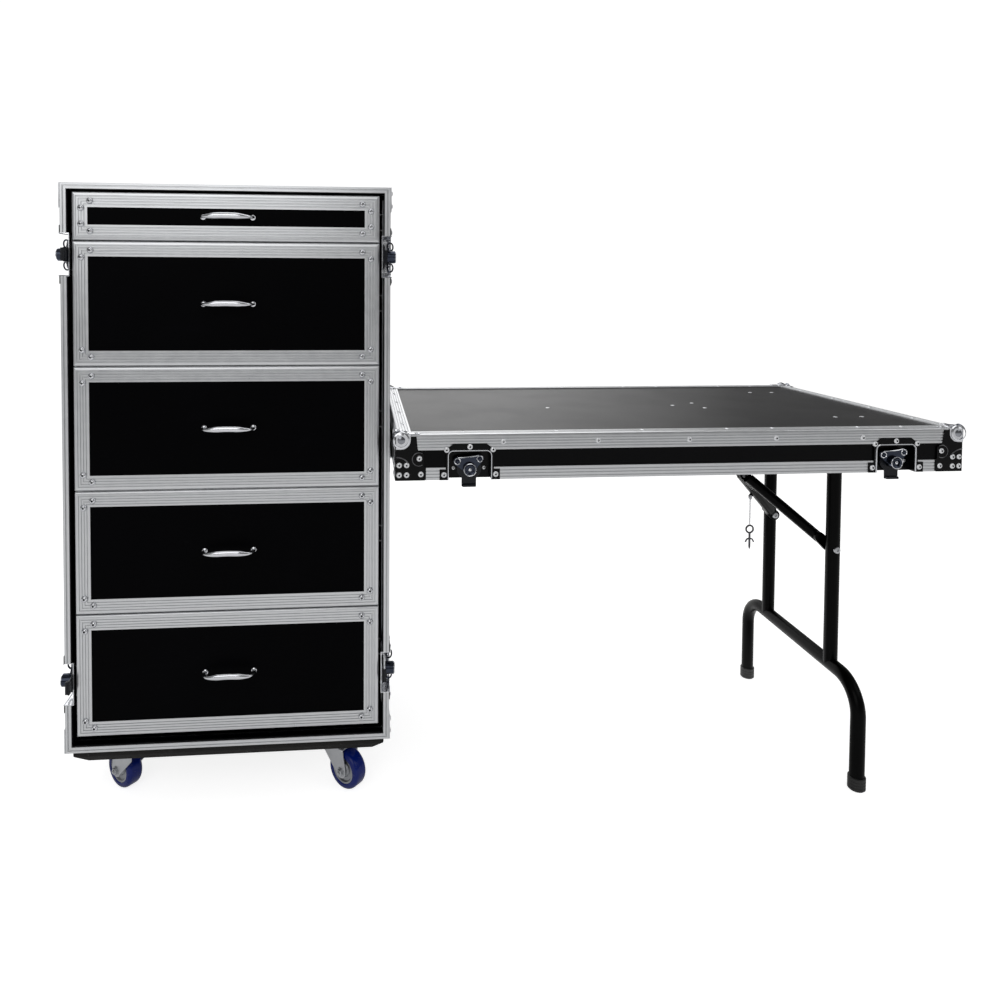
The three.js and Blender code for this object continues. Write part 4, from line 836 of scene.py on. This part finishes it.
rubber = rubbery("rubber", (0.010, 0.010, 0.010), (0.03, 0.03, 0.03), 0.55)
dish_sheet, flange, dish_screw_size = 0.0012, 0.011, (0.0036, 0.0013)
grip_rod, grip_half, grip_drop, sleeve_sheet = 0.0032, 0.052, 0.052, 0.0005
ear_depth, ear_wide, ear_tall, ear_sunk, ear_place = 0.0072, 0.0028, 0.0085, 0.0005, grip_half + 0.0068
grip_side = [(-grip_half, 0), (-grip_half, 0.010 - grip_drop), (0.003 - grip_half, 0.003 - grip_drop),
             (0.010 - grip_half, -grip_drop)]
for side, face_x, outward in (("left", case_left + hull_inset, -X), ("right", case_right - hull_inset, X)):
    low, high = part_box(f"side_handle_dish_{side}")
    middle = at(face_x, (low.y + high.y) / 2, (low.z + high.z) / 2)
    half_y, half_z = (high.y - low.y) / 2 - flange, (high.z - low.z) / 2 - flange
    depth = (high.x - low.x) - angle_sheet
    place = placing(Y * outward.x, Z, outward, middle)
    dish, dish_screws, grip, sleeve = shapes(4)
    loops = []
    for shrink, corner, level in ((-flange, 0.008, 0.0002), (-flange, 0.008, angle_sheet),
                                  (0, 0.012, angle_sheet), (0.0012, 0.011, angle_sheet - 0.001),
                                  (0.005, 0.009, 0.003 - depth), (0.008, 0.007, dish_sheet - depth)):
        points = moved(place, rounded_loop(half_y - shrink, half_z - shrink, corner, level))
        loops.append([dish.verts.new(point) for point in points])
    for one, two in zip(loops, loops[1:]):
        for k in range(len(one)):
            dish.faces.new((one[k], one[k - 1], two[k - 1], two[k]))
    dish.faces.new(loops[-1])
    for u in (-1, 0, 1):
        for v in (-1, 1):
            screw(dish_screws, place @ at(u * (half_y + flange / 2 - 0.001), v * (half_z + flange / 2),
                                          angle_sheet), outward, *dish_screw_size)
    grip_low, grip_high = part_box(f"side_handle_grip_{side}")
    hinge = at((grip_low.x + grip_high.x) / 2, middle.y, grip_high.z - grip_rod - 0.0001)
    bent(grip, smooth_path([hinge + at(0, y, z) for y, z in mirrored(grip_side, -1, 1)], 4), grip_rod, 12)
    for end in (-1, 1):
        turned(grip, [(0, 0.0034), (0.0036, 0.0034), (0.0036, -0.0065), (0, -0.0065)],
               placing(X, Z, Y * -end, hinge + Y * end * grip_half), 14)
        ear = at(face_x, hinge.y + end * ear_place, hinge.z) - outward * ear_sunk
        block(dish, ear - at(0, ear_wide, ear_tall), ear - outward * ear_depth + at(0, ear_wide, ear_tall),
              0.0008)
    bent(sleeve, [hinge + at(0, y, -grip_drop) for y in (-0.038, -0.0365, 0.0365, 0.038)],
         grip_rod + sleeve_sheet, 14)
    piece(f"side_handle_recess_{side}", dish, black_steel, "case", (f"side_handle_dish_{side}",),
          "black_steel")
    screw_piece(f"side_handle_screws_{side}", dish_screws, zinc)
    piece(f"side_handle_bar_{side}", grip, zinc, f"grip_{side}", (f"side_handle_grip_{side}",), "black_steel")
    piece(f"side_handle_sleeve_{side}", sleeve, rubber, f"grip_{side}")


# Shelf. A ribbed aluminium angle, riveted to the case's right side, carries the lid's end. Two turned steel
# studs in it stand up into the lid.
shelf_reach, shelf_drop, shelf_sheet, shelf_gap, shelf_round = 0.030, 0.030, 0.003, 0.0003, 0.0006
shelf_front, shelf_back = case_front + 0.068, case_back - angle_leg / 2
shelf_top, shelf_rivet_drop, shelf_rivet_size = lid_bottom - shelf_gap, 0.018, (0.0036, 0.0014)
stud = [(0.0020, -0.001), (0.0020, 0.0052), (0.0014, 0.0060), (0, 0.0060)]
shelf, shelf_rivets, studs = shapes(3)
bar(shelf, [(0, 0)] + ribs(0.001, shelf_reach, 4)[:-1]
    + [(shelf_reach, -shelf_round), (shelf_reach, -shelf_sheet), (shelf_sheet, -shelf_sheet),
       (shelf_sheet, -shelf_drop), (0, -shelf_drop)],
    at(case_right, shelf_front, shelf_top), at(case_right, shelf_back, shelf_top), X, Z, (0, 0))
for y in row(shelf_front + 0.03, 0.0836, 6):
    screw(shelf_rivets, at(case_right + shelf_sheet, y, shelf_top - shelf_rivet_drop), X, *shelf_rivet_size)
for y in (shelf_front + 0.030, shelf_back - 0.094):
    turned(studs, stud, Matrix.Translation((lid_left + 0.0065, y, shelf_top)), 14)
piece("shelf_angle", shelf, aluminium)
screw_piece("shelf_rivets", shelf_rivets, zinc)
piece("shelf_studs", studs, zinc)


# Lid. Its edges carry ribbed aluminium angle at the table top and a grooved hybrid extrusion at the mating
# edge, with the black laminate showing between them. Countersunk screws hold the angle.
lid_groove, lid_rim_height = ((0.004, 0), (0.004, -0.008), (0.009, -0.008), (0.009, 0)), 0.022
lid_rim_section = side_ribs + [(rim_round, 0), *lid_groove, (rim_width, 0), (rim_width, -lid_rim_height),
                               (0, -lid_rim_height)]
face_screws = ((0.190, 0.0145), (0.3615, 0.0145), (0.530, 0.0150), (0.694, 0.0150), (0.861, 0.0165))
top_screws, top_screw_size = (0.120, 0.290, 0.450, 0.610, 0.697, 0.864, 0.950), (0.0036, 0.0012)
top_inset, end_inset, end_drop, end_rise = 0.020, 0.018, 0.0145, 0.0135
end_screw_size, rim_screw_size = (0.0042, 0.0016), (0.0038, 0.0014)
lid_edges, lid_rim, lid_screws = shapes(3)
for start, end, inward in four_edges(at(lid_left, lid_near, 0), at(lid_right, lid_far, 0), X, Y):
    bar(lid_edges, angle_section(), start + Z * table_top, end + Z * table_top, inward, Z)
    rim_bar(lid_rim, lid_rim_section, start + Z * lid_bottom, end + Z * lid_bottom, inward, -Z, inward.x == 0)
ribbed_piece("lid_edge_angles", lid_edges, "table", ("lid_frame",), "aluminium")
ribbed_piece("lid_rim_bars", lid_rim, "table")
for y, outward in ((lid_near, -Y), (lid_far, Y)):
    for x, drop in face_screws:
        screw(lid_screws, at(lid_left + x, y, table_top - drop), outward)
    for x in top_screws:
        screw(lid_screws, at(lid_left + x, y, table_top) - outward * top_inset, Z, *top_screw_size)
for x, outward in ((lid_left, -X), (lid_right, X)):
    for y in row(lid_near + 0.105, 0.130, 4):
        screw(lid_screws, at(x, y, table_top) - outward * end_inset, Z, *top_screw_size)
        screw(lid_screws, at(x, y, table_top - end_drop), outward, *end_screw_size)
        screw(lid_screws, at(x, y, lid_bottom + end_rise), outward, *rim_screw_size)
screw_piece("lid_screws", lid_screws, screw_plating, "table")

# Table top bolts. Plated cap heads, sunk almost flush, of the bolts that hold the leg's blocks, the brace's
# bracket and the lid's inner fittings under the board.
top_bolts = ((0.338, 0.278), (0.6216, 0.294), (0.678, 0.323), (0.678, 0.258), (0.894, 0.134), (0.951, 0.135),
             (0.896, 0.4775), (0.950, 0.4745))
cap_head = [(0, 0.0010), (0.0030, 0.0009), (0.0044, 0.0004), (0.0048, -0.0020)]
bolts = bmesh.new()
for x, y in top_bolts:
    turned(bolts, cap_head, Matrix.Translation((lid_left + x, lid_near + y, lid_tray_high.z)), 14)
piece("table_top_bolts", bolts, screw_plating, "table")

# Lid corners. Black pressed braces wrap the corners under the balls and are screwed on. Each has an embossed
# arc, and a ring beside it on the long face, which take a lighter grey as a painted highlight.
# A dull dark grey: a painted highlight on the braces' embossed arcs and rings, and the knee rivet's own
# colour.
dark_grey_and_painted_highlight = metal("dark_grey_and_painted_highlight", (0.22, 0.22, 0.23), (0.05, 0.05, 0.055), 0.30, 120.0)
brace_sheet, brace_wide, brace_tall, foot_height, brace_gap = 0.0014, 0.053, 0.0775, 0.0215, 0.0001
long_outline = ([(0, 0), (brace_wide - 0.002, 0), (brace_wide, 0.002), (brace_wide, foot_height),
                 (0.0495, foot_height + 0.003), (0.0495, 0.047)]
                + round_points((0.0495, 0.0585), 0.0115, 262, 192, 6)
                + [(0.0360, brace_tall), (0, brace_tall)])
end_outline = [(0, 0), (0.048, 0), (0.050, 0.002), (0.050, foot_height), (0.046, 0.027), (0.046, 0.050),
               (0.038, 0.056), (0.036, brace_tall), (0, brace_tall)]
end_screws = tuple((x, z) for x in (0.0060, 0.0190) for z in (0.0100, 0.0272))
long_screws = end_screws + ((0.0412, 0.0385), (0.0440, 0.0108))
arc = (round_points((0.0020, 0.0180), 0.0235, 92, 32, 10), 0.0012)
ring = (round_points((0.0405, 0.0375), 0.0118, 300, 60, 14), 0.0007)
lid_corners = (("near_left", lid_left, lid_near, -1, -1), ("near_right", lid_right, lid_near, 1, -1),
               ("far_left", lid_left, lid_far, -1, 1), ("far_right", lid_right, lid_far, 1, 1))
for name, x, y, side_x, side_y in lid_corners:
    braces, brace_bolts, ball, ball_rivets = shapes(4)
    long_face = placing(-X * side_x, Z, Y * side_y, at(x, y, lid_bottom))
    end_face = placing(-Y * side_y, Z, X * side_x, at(x, y, lid_bottom))
    for face, outline, embossed, spots in ((long_face, long_outline, (arc, ring), long_screws),
                                           (end_face, end_outline, (arc,), end_screws)):
        slab(braces, outline, face, brace_gap, brace_sheet, 0.0004)
        plain = set(braces.faces)
        for path, radius in embossed:
            bent(braces, [face @ at(u, v, brace_sheet) for u, v in path], radius, 8)
        # The embossed faces take the lighter grey as a painted highlight.
        for highlit_face in set(braces.faces) - plain:
            highlit_face.material_index = 1
        for u, v in spots:
            screw(brace_bolts, face @ at(u, v, brace_sheet), face.to_3x3() @ Z)
    ball_corner(ball, ball_rivets, at(x, y, table_top), (side_x, side_y, 1), (False, False, True),
                (brace_sheet, brace_sheet, 0))
    piece(f"lid_brace_{name}", braces, black_steel, "table", second=dark_grey_and_painted_highlight)
    screw_piece(f"lid_brace_screws_{name}", brace_bolts, screw_plating, "table")
    piece(f"lid_ball_{name}", ball, chrome, "table", second=ball_chrome_painted_dark_reflection)
    screw_piece(f"lid_ball_rivets_{name}", ball_rivets, zinc, "table")


# Leg. Black powder-coated steel tube: a top tube that turns in two blocks, two uprights, and a stretcher
# whose ends bend down into feet with ribbed rubber caps. Cap screws hold the brace's arms.
def rounded_path(points, radius, steps):
    """The path with an arc of this radius at each inner point."""
    path = [points[0]]
    for before, corner, after in zip(points, points[1:], points[2:]):
        one, two = (before - corner).normalized(), (after - corner).normalized()
        angle = one.angle(two)
        reach = radius / math.tan(angle / 2)
        centre = corner + (one + two).normalized() * radius / math.sin(angle / 2)
        start, end = corner + one * reach - centre, corner + two * reach - centre
        sweep = start.angle(end)
        for t in [step / steps for step in range(steps + 1)]:
            blend = start * math.sin((1 - t) * sweep) + end * math.sin(t * sweep)
            path.append(centre + blend / math.sin(sweep))
    return path + [points[-1]]


tube_black = gloss_black("tube_black", (0.0008, 0.0008, 0.0009), 0.30, 0.07)
leg_low, leg_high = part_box("leg_frame")
tube, foot_bend, half_spacing, half_feet, half_top = 0.014, 0.062, 0.123, 0.216, 0.173
leg_x, leg_middle, pivot_z = (leg_low.x + leg_high.x) / 2, (lid_near + lid_far) / 2, leg_high.z - tube
stretcher_z, brace_pivot_z, tube_end = table_top - 0.530, table_top - 0.285, 0.004
cap_radius, cap_height, cap_rib, cap_groove = 0.0165, 0.026, 0.0008, 0.006
foot_cap = [(0, 0), (cap_radius - 0.002, 0), (cap_radius, 0.002)]
for z in row(cap_groove, cap_groove, 3):
    foot_cap += [(cap_radius, z), (cap_radius - cap_rib, z + cap_rib),
                 (cap_radius - cap_rib, z + 2 * cap_rib), (cap_radius, z + 3 * cap_rib)]
foot_cap += [(cap_radius, cap_height - 0.001), (tube + 0.0006, cap_height), (tube - 0.002, cap_height)]
cap_screw = [(0, 0.0012), (0.0022, 0.0012), (0.0026, 0.0040), (0.0062, 0.0034), (0.0070, 0.0022),
             (0.0070, -0.0002)]
leg, leg_caps, leg_bolts = shapes(3)
bent(leg, [at(leg_x, leg_middle + y, pivot_z) for y in (-half_top, half_top)], tube, 32)
for side in (-1, 1):
    upright_y, foot_y = leg_middle + side * half_spacing, leg_middle + side * half_feet
    bent(leg, [at(leg_x, upright_y, z) for z in (pivot_z, stretcher_z)], tube, 32)
    bent(leg, rounded_path([at(leg_x, leg_middle, stretcher_z), at(leg_x, foot_y, stretcher_z),
                            at(leg_x, foot_y, tube_end)], foot_bend, 14), tube, 32)
    turned(leg_caps, foot_cap, Matrix.Translation((leg_x, foot_y, 0)), 28)
    for way, reach in ((-side, tube + 0.0086), (side, tube - 0.0004)):
        turned(leg_bolts, cap_screw, facing(at(leg_x, upright_y + way * reach, brace_pivot_z), Y * way), 16)
piece("leg_tubes", leg, tube_black, "leg", ("leg_frame",), "black_steel")
piece("leg_caps", leg_caps, rubber, "leg")
piece("leg_bolts", leg_bolts, zinc, "leg")

# Bearing blocks. Black steel cheeks, each with a bush on both sides and a welded foot, hold the leg's top
# tube. Four hexagon bolts fasten each foot under the panel.
cheek, block_half, foot_sheet, foot_bolt_inset = 0.005, 0.026, 0.004, 0.007
for name in ("near", "far"):
    low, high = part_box(f"leg_block_{name}")
    upright = placing(X, Z, -Y, at(leg_x, (low.y + high.y) / 2, pivot_z))
    block_shape, block_bolts = shapes(2)
    rise = high.z - pivot_z
    outline = round_points((0, 0), block_half, 180, 360, 16) + [(block_half, rise), (-block_half, rise)]
    slab(block_shape, outline, upright, -cheek, cheek, 0.0010, 2)
    block(block_shape, at(low.x, low.y, high.z - foot_sheet), high, 0.0010)
    for way in (-1, 1):
        turned(block_shape, [(tube + 0.0008, way * (cheek + 0.0018)), (tube + 0.0040, way * (cheek + 0.0018)),
                             (tube + 0.0052, way * (cheek + 0.0002))], upright, 28)
    for x in (low.x + foot_bolt_inset, high.x - foot_bolt_inset):
        for y in (low.y + foot_bolt_inset, high.y - foot_bolt_inset):
            hex_bolt(block_bolts, at(x, y, high.z - foot_sheet), -Z, 0.0048, 0.0042)
    piece(f"leg_block_steel_{name}", block_shape, tube_black, "table", (f"leg_block_{name}",), "black_steel")
    piece(f"leg_block_bolts_{name}", block_bolts, zinc, "table")


# Brace. Two tubular arms with flattened ends swing from the leg's bolts and meet at the knee, beside a flat
# link that folds up to the bracket under the panel. Rivets join them.
def strap(shape, start, end, radius_start, radius_end, low, high):
    """Adds a flat strap with round ends in the brace's plane, from low to high across it."""
    length, way = (end - start).length, (end - start).normalized()
    outline = (round_points((0, 0), radius_start, 270, 90, 10)
               + round_points((length, 0), radius_end, 90, -90, 10))
    slab(shape, outline, placing(way, Y.cross(way), Y, at(start.x, 0, start.z)), low, high, 0.0007)


bracket_x, bracket_z = leg_x - 0.250, table_top - 0.050
arm_length, arm_tube, eye_sheet, knee_sheet, link_half, link_width = 0.185, 0.011, 0.008, 0.005, 0.004, 0.009
brace_play, eye_from_knee, eye_drop, lug_half = 0.0003, 0.079, 0.0153, 0.0045
arm_start, arm_end = 0.019, arm_length - 0.008
leg_pin, panel_pin = at(leg_x, leg_middle, brace_pivot_z), at(bracket_x, leg_middle, bracket_z)
along = (panel_pin - leg_pin).normalized()
across = at(-along.z, 0, along.x)
knee = leg_pin + along * arm_length
eye_face, ear_face = half_spacing - tube - brace_play, link_half + brace_play
knee_end = link_half + knee_sheet
for name, side in (("near", -1), ("far", 1)):
    arm = bmesh.new()
    eye = sorted((leg_middle + side * eye_face, leg_middle + side * (eye_face - eye_sheet)))
    ear = sorted((leg_middle + side * ear_face, leg_middle + side * (ear_face + knee_sheet)))
    strap(arm, leg_pin, leg_pin + along * 0.026, 0.012, 0.0106, *eye)
    strap(arm, knee, knee - along * 0.046, 0.011, 0.009, *ear)
    start = leg_pin + along * arm_start + Y * side * (eye_face - arm_tube)
    end = leg_pin + along * arm_end + Y * side * (ear_face + knee_sheet + arm_tube - 0.003)
    bent(arm, [start, end], arm_tube, 24)
    if name == "far":
        on_tube = start.lerp(end, (arm_length - eye_from_knee - arm_start) / (arm_end - arm_start))
        chain_eye = on_tube + across * eye_drop
        lug_top = eye_drop * 0.6
        lug = round_points((0, 0), 0.004, 180, 360, 10) + [(lug_half, lug_top), (-lug_half, lug_top)]
        slab(arm, lug, placing(along, -across, Y, chain_eye), -0.0015, 0.0015, 0.0004)
    piece(f"brace_arm_tube_{name}", arm, tube_black, "brace_arms", (f"leg_brace_arm_{name}",), "black_steel")
knee_rivet = bmesh.new()
for way in (-1, 1):
    turned(knee_rivet, [(0, 0.0036), (0.0030, 0.0032), (0.0056, 0.0014), (0.0062, -0.0002)],
           facing(knee + Y * way * (ear_face + knee_sheet), Y * way), 16)
turned(knee_rivet, mirrored([(0, -knee_end), (0.0040, -knee_end)]), facing(knee, Y), 14)
piece("brace_knee_rivet", knee_rivet, dark_grey_and_painted_highlight, "brace_arms")

link = bmesh.new()
strap(link, knee, panel_pin, link_width, link_width, leg_middle - link_half, leg_middle + link_half)
turned(link, mirrored([(0.0046, -0.014), (0.0095, -0.014), (0.0100, -0.0135)]), facing(panel_pin, Y), 24)
piece("brace_link_bar", link, tube_black, "brace_link", ("leg_brace_link",), "black_steel")

low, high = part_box("leg_brace_bracket")
ear_outer, ear_half, base_sheet, base_half = 0.0175, 0.012, 0.003, 0.038
bracket_rise, base_low = high.z - bracket_z, high.z - base_sheet
bracket, bracket_bolts = shapes(2)
for y in (-ear_outer, ear_outer - base_sheet):
    slab(bracket, round_points((0, 0), ear_half, 180, 360, 14)
         + [(ear_half + 0.004, bracket_rise), (-ear_half - 0.004, bracket_rise)],
         placing(X, Z, -Y, at(bracket_x, leg_middle + y + base_sheet, bracket_z)), 0, base_sheet, 0.0006)
block(bracket, (bracket_x - base_half, leg_middle - ear_outer, base_low),
      (bracket_x + base_half, leg_middle + ear_outer, high.z), 0.0008)
block(bracket, (bracket_x + 0.014, low.y, base_low), (bracket_x + 0.034, high.y, high.z), 0.0008)
turned(bracket, mirrored([(0, 0.0210), (0.0040, 0.0210), (0.0056, 0.0196), (0.0060, 0.0176),
                          (0.0040, 0.0175)]), facing(panel_pin, Y), 16)
for x, y in ((-0.030, 0.010), (-0.030, -0.010), (0.024, 0.034), (0.024, -0.034)):
    hex_bolt(bracket_bolts, at(bracket_x + x, leg_middle + y, base_low), -Z, 0.0044, 0.0036)
piece("brace_bracket_pressed", bracket, tube_black, "table", ("leg_brace_bracket",), "black_steel")
piece("brace_bracket_bolts", bracket_bolts, zinc, "table")

# Locking pin. A plated clevis on the far arm's lug, a fine welded chain, and a cast pin with a ring, a stem
# and two sprung prongs. It hangs unused; in use it keeps the straight brace from folding.
pin_low, pin_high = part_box("lock_pin")
ring_radius, ring_rod, stem_rod, clevis_end = 0.0106, 0.0021, 0.0024, 0.0030
chain_length, stem_length, tip_length = 0.068, 0.037, 0.004
prong_start, prong_reach, prong_fall = 0.0135, 0.0100, 0.0080
pin_place = at((pin_low.x + pin_high.x) / 2, chain_eye.y, chain_eye.z)
pin, cast_pin = shapes(2)
for y in (chain_eye.y - 0.0028, chain_eye.y + 0.0018):
    strap(pin, pin_place + Z * 0.0005, pin_place - Z * 0.0048, clevis_end, clevis_end, y, y + 0.0010)
turned(pin, mirrored([(0, 0.0036), (0.0024, 0.0034), (0.0026, 0.0028), (0.0014, 0.0027)]),
       facing(pin_place, Y), 12)
ring_middle = pin_place - Z * (chain_length + ring_radius - 0.0015)
chain_top, chain_bottom = pin_place.z - 0.0055, ring_middle.z + ring_radius - 0.001
link_long, link_round, link_rod, links = 0.0029, 0.0013, 0.0005, 16
step_down = (chain_top - chain_bottom) / links
for number in range(links):
    centre = at(pin_place.x, pin_place.y, chain_top - step_down * (number + 0.5))
    sideways = X if number % 2 else Y
    bent(pin, loop_path(centre, sideways * link_round, Z * link_long, 12), link_rod, 8, closed=True)
ring_reach = ring_radius - ring_rod
bent(cast_pin, loop_path(ring_middle, X * ring_reach, Z * ring_reach, 28), ring_rod, 12, closed=True)
stem_top = ring_middle - Z * ring_reach
stem_end = stem_top - Z * (stem_length - tip_length)
bent(cast_pin, [stem_top + Z * 0.001, stem_end], stem_rod, 16)
bent(cast_pin, [stem_end + Z * 0.0005, stem_top - Z * stem_length], stem_rod * 0.7, 12)
for way in (-prong_reach, prong_reach):
    prong = [stem_top - Z * prong_start, stem_top + X * way * 0.6 - Z * (prong_start + 0.0014),
             stem_top + X * way - Z * (prong_start + prong_fall)]
    bent(cast_pin, smooth_path(prong, 6), ring_rod * 0.85, 10)
piece("lock_pin_chain", pin, zinc, "lock_pin", angle=50)
piece("lock_pin_cast", cast_pin, metal("cast_grey", (0.16, 0.16, 0.17), (0.07, 0.07, 0.08), 0.45), "lock_pin",
      ("lock_pin",), "zinc", 50)
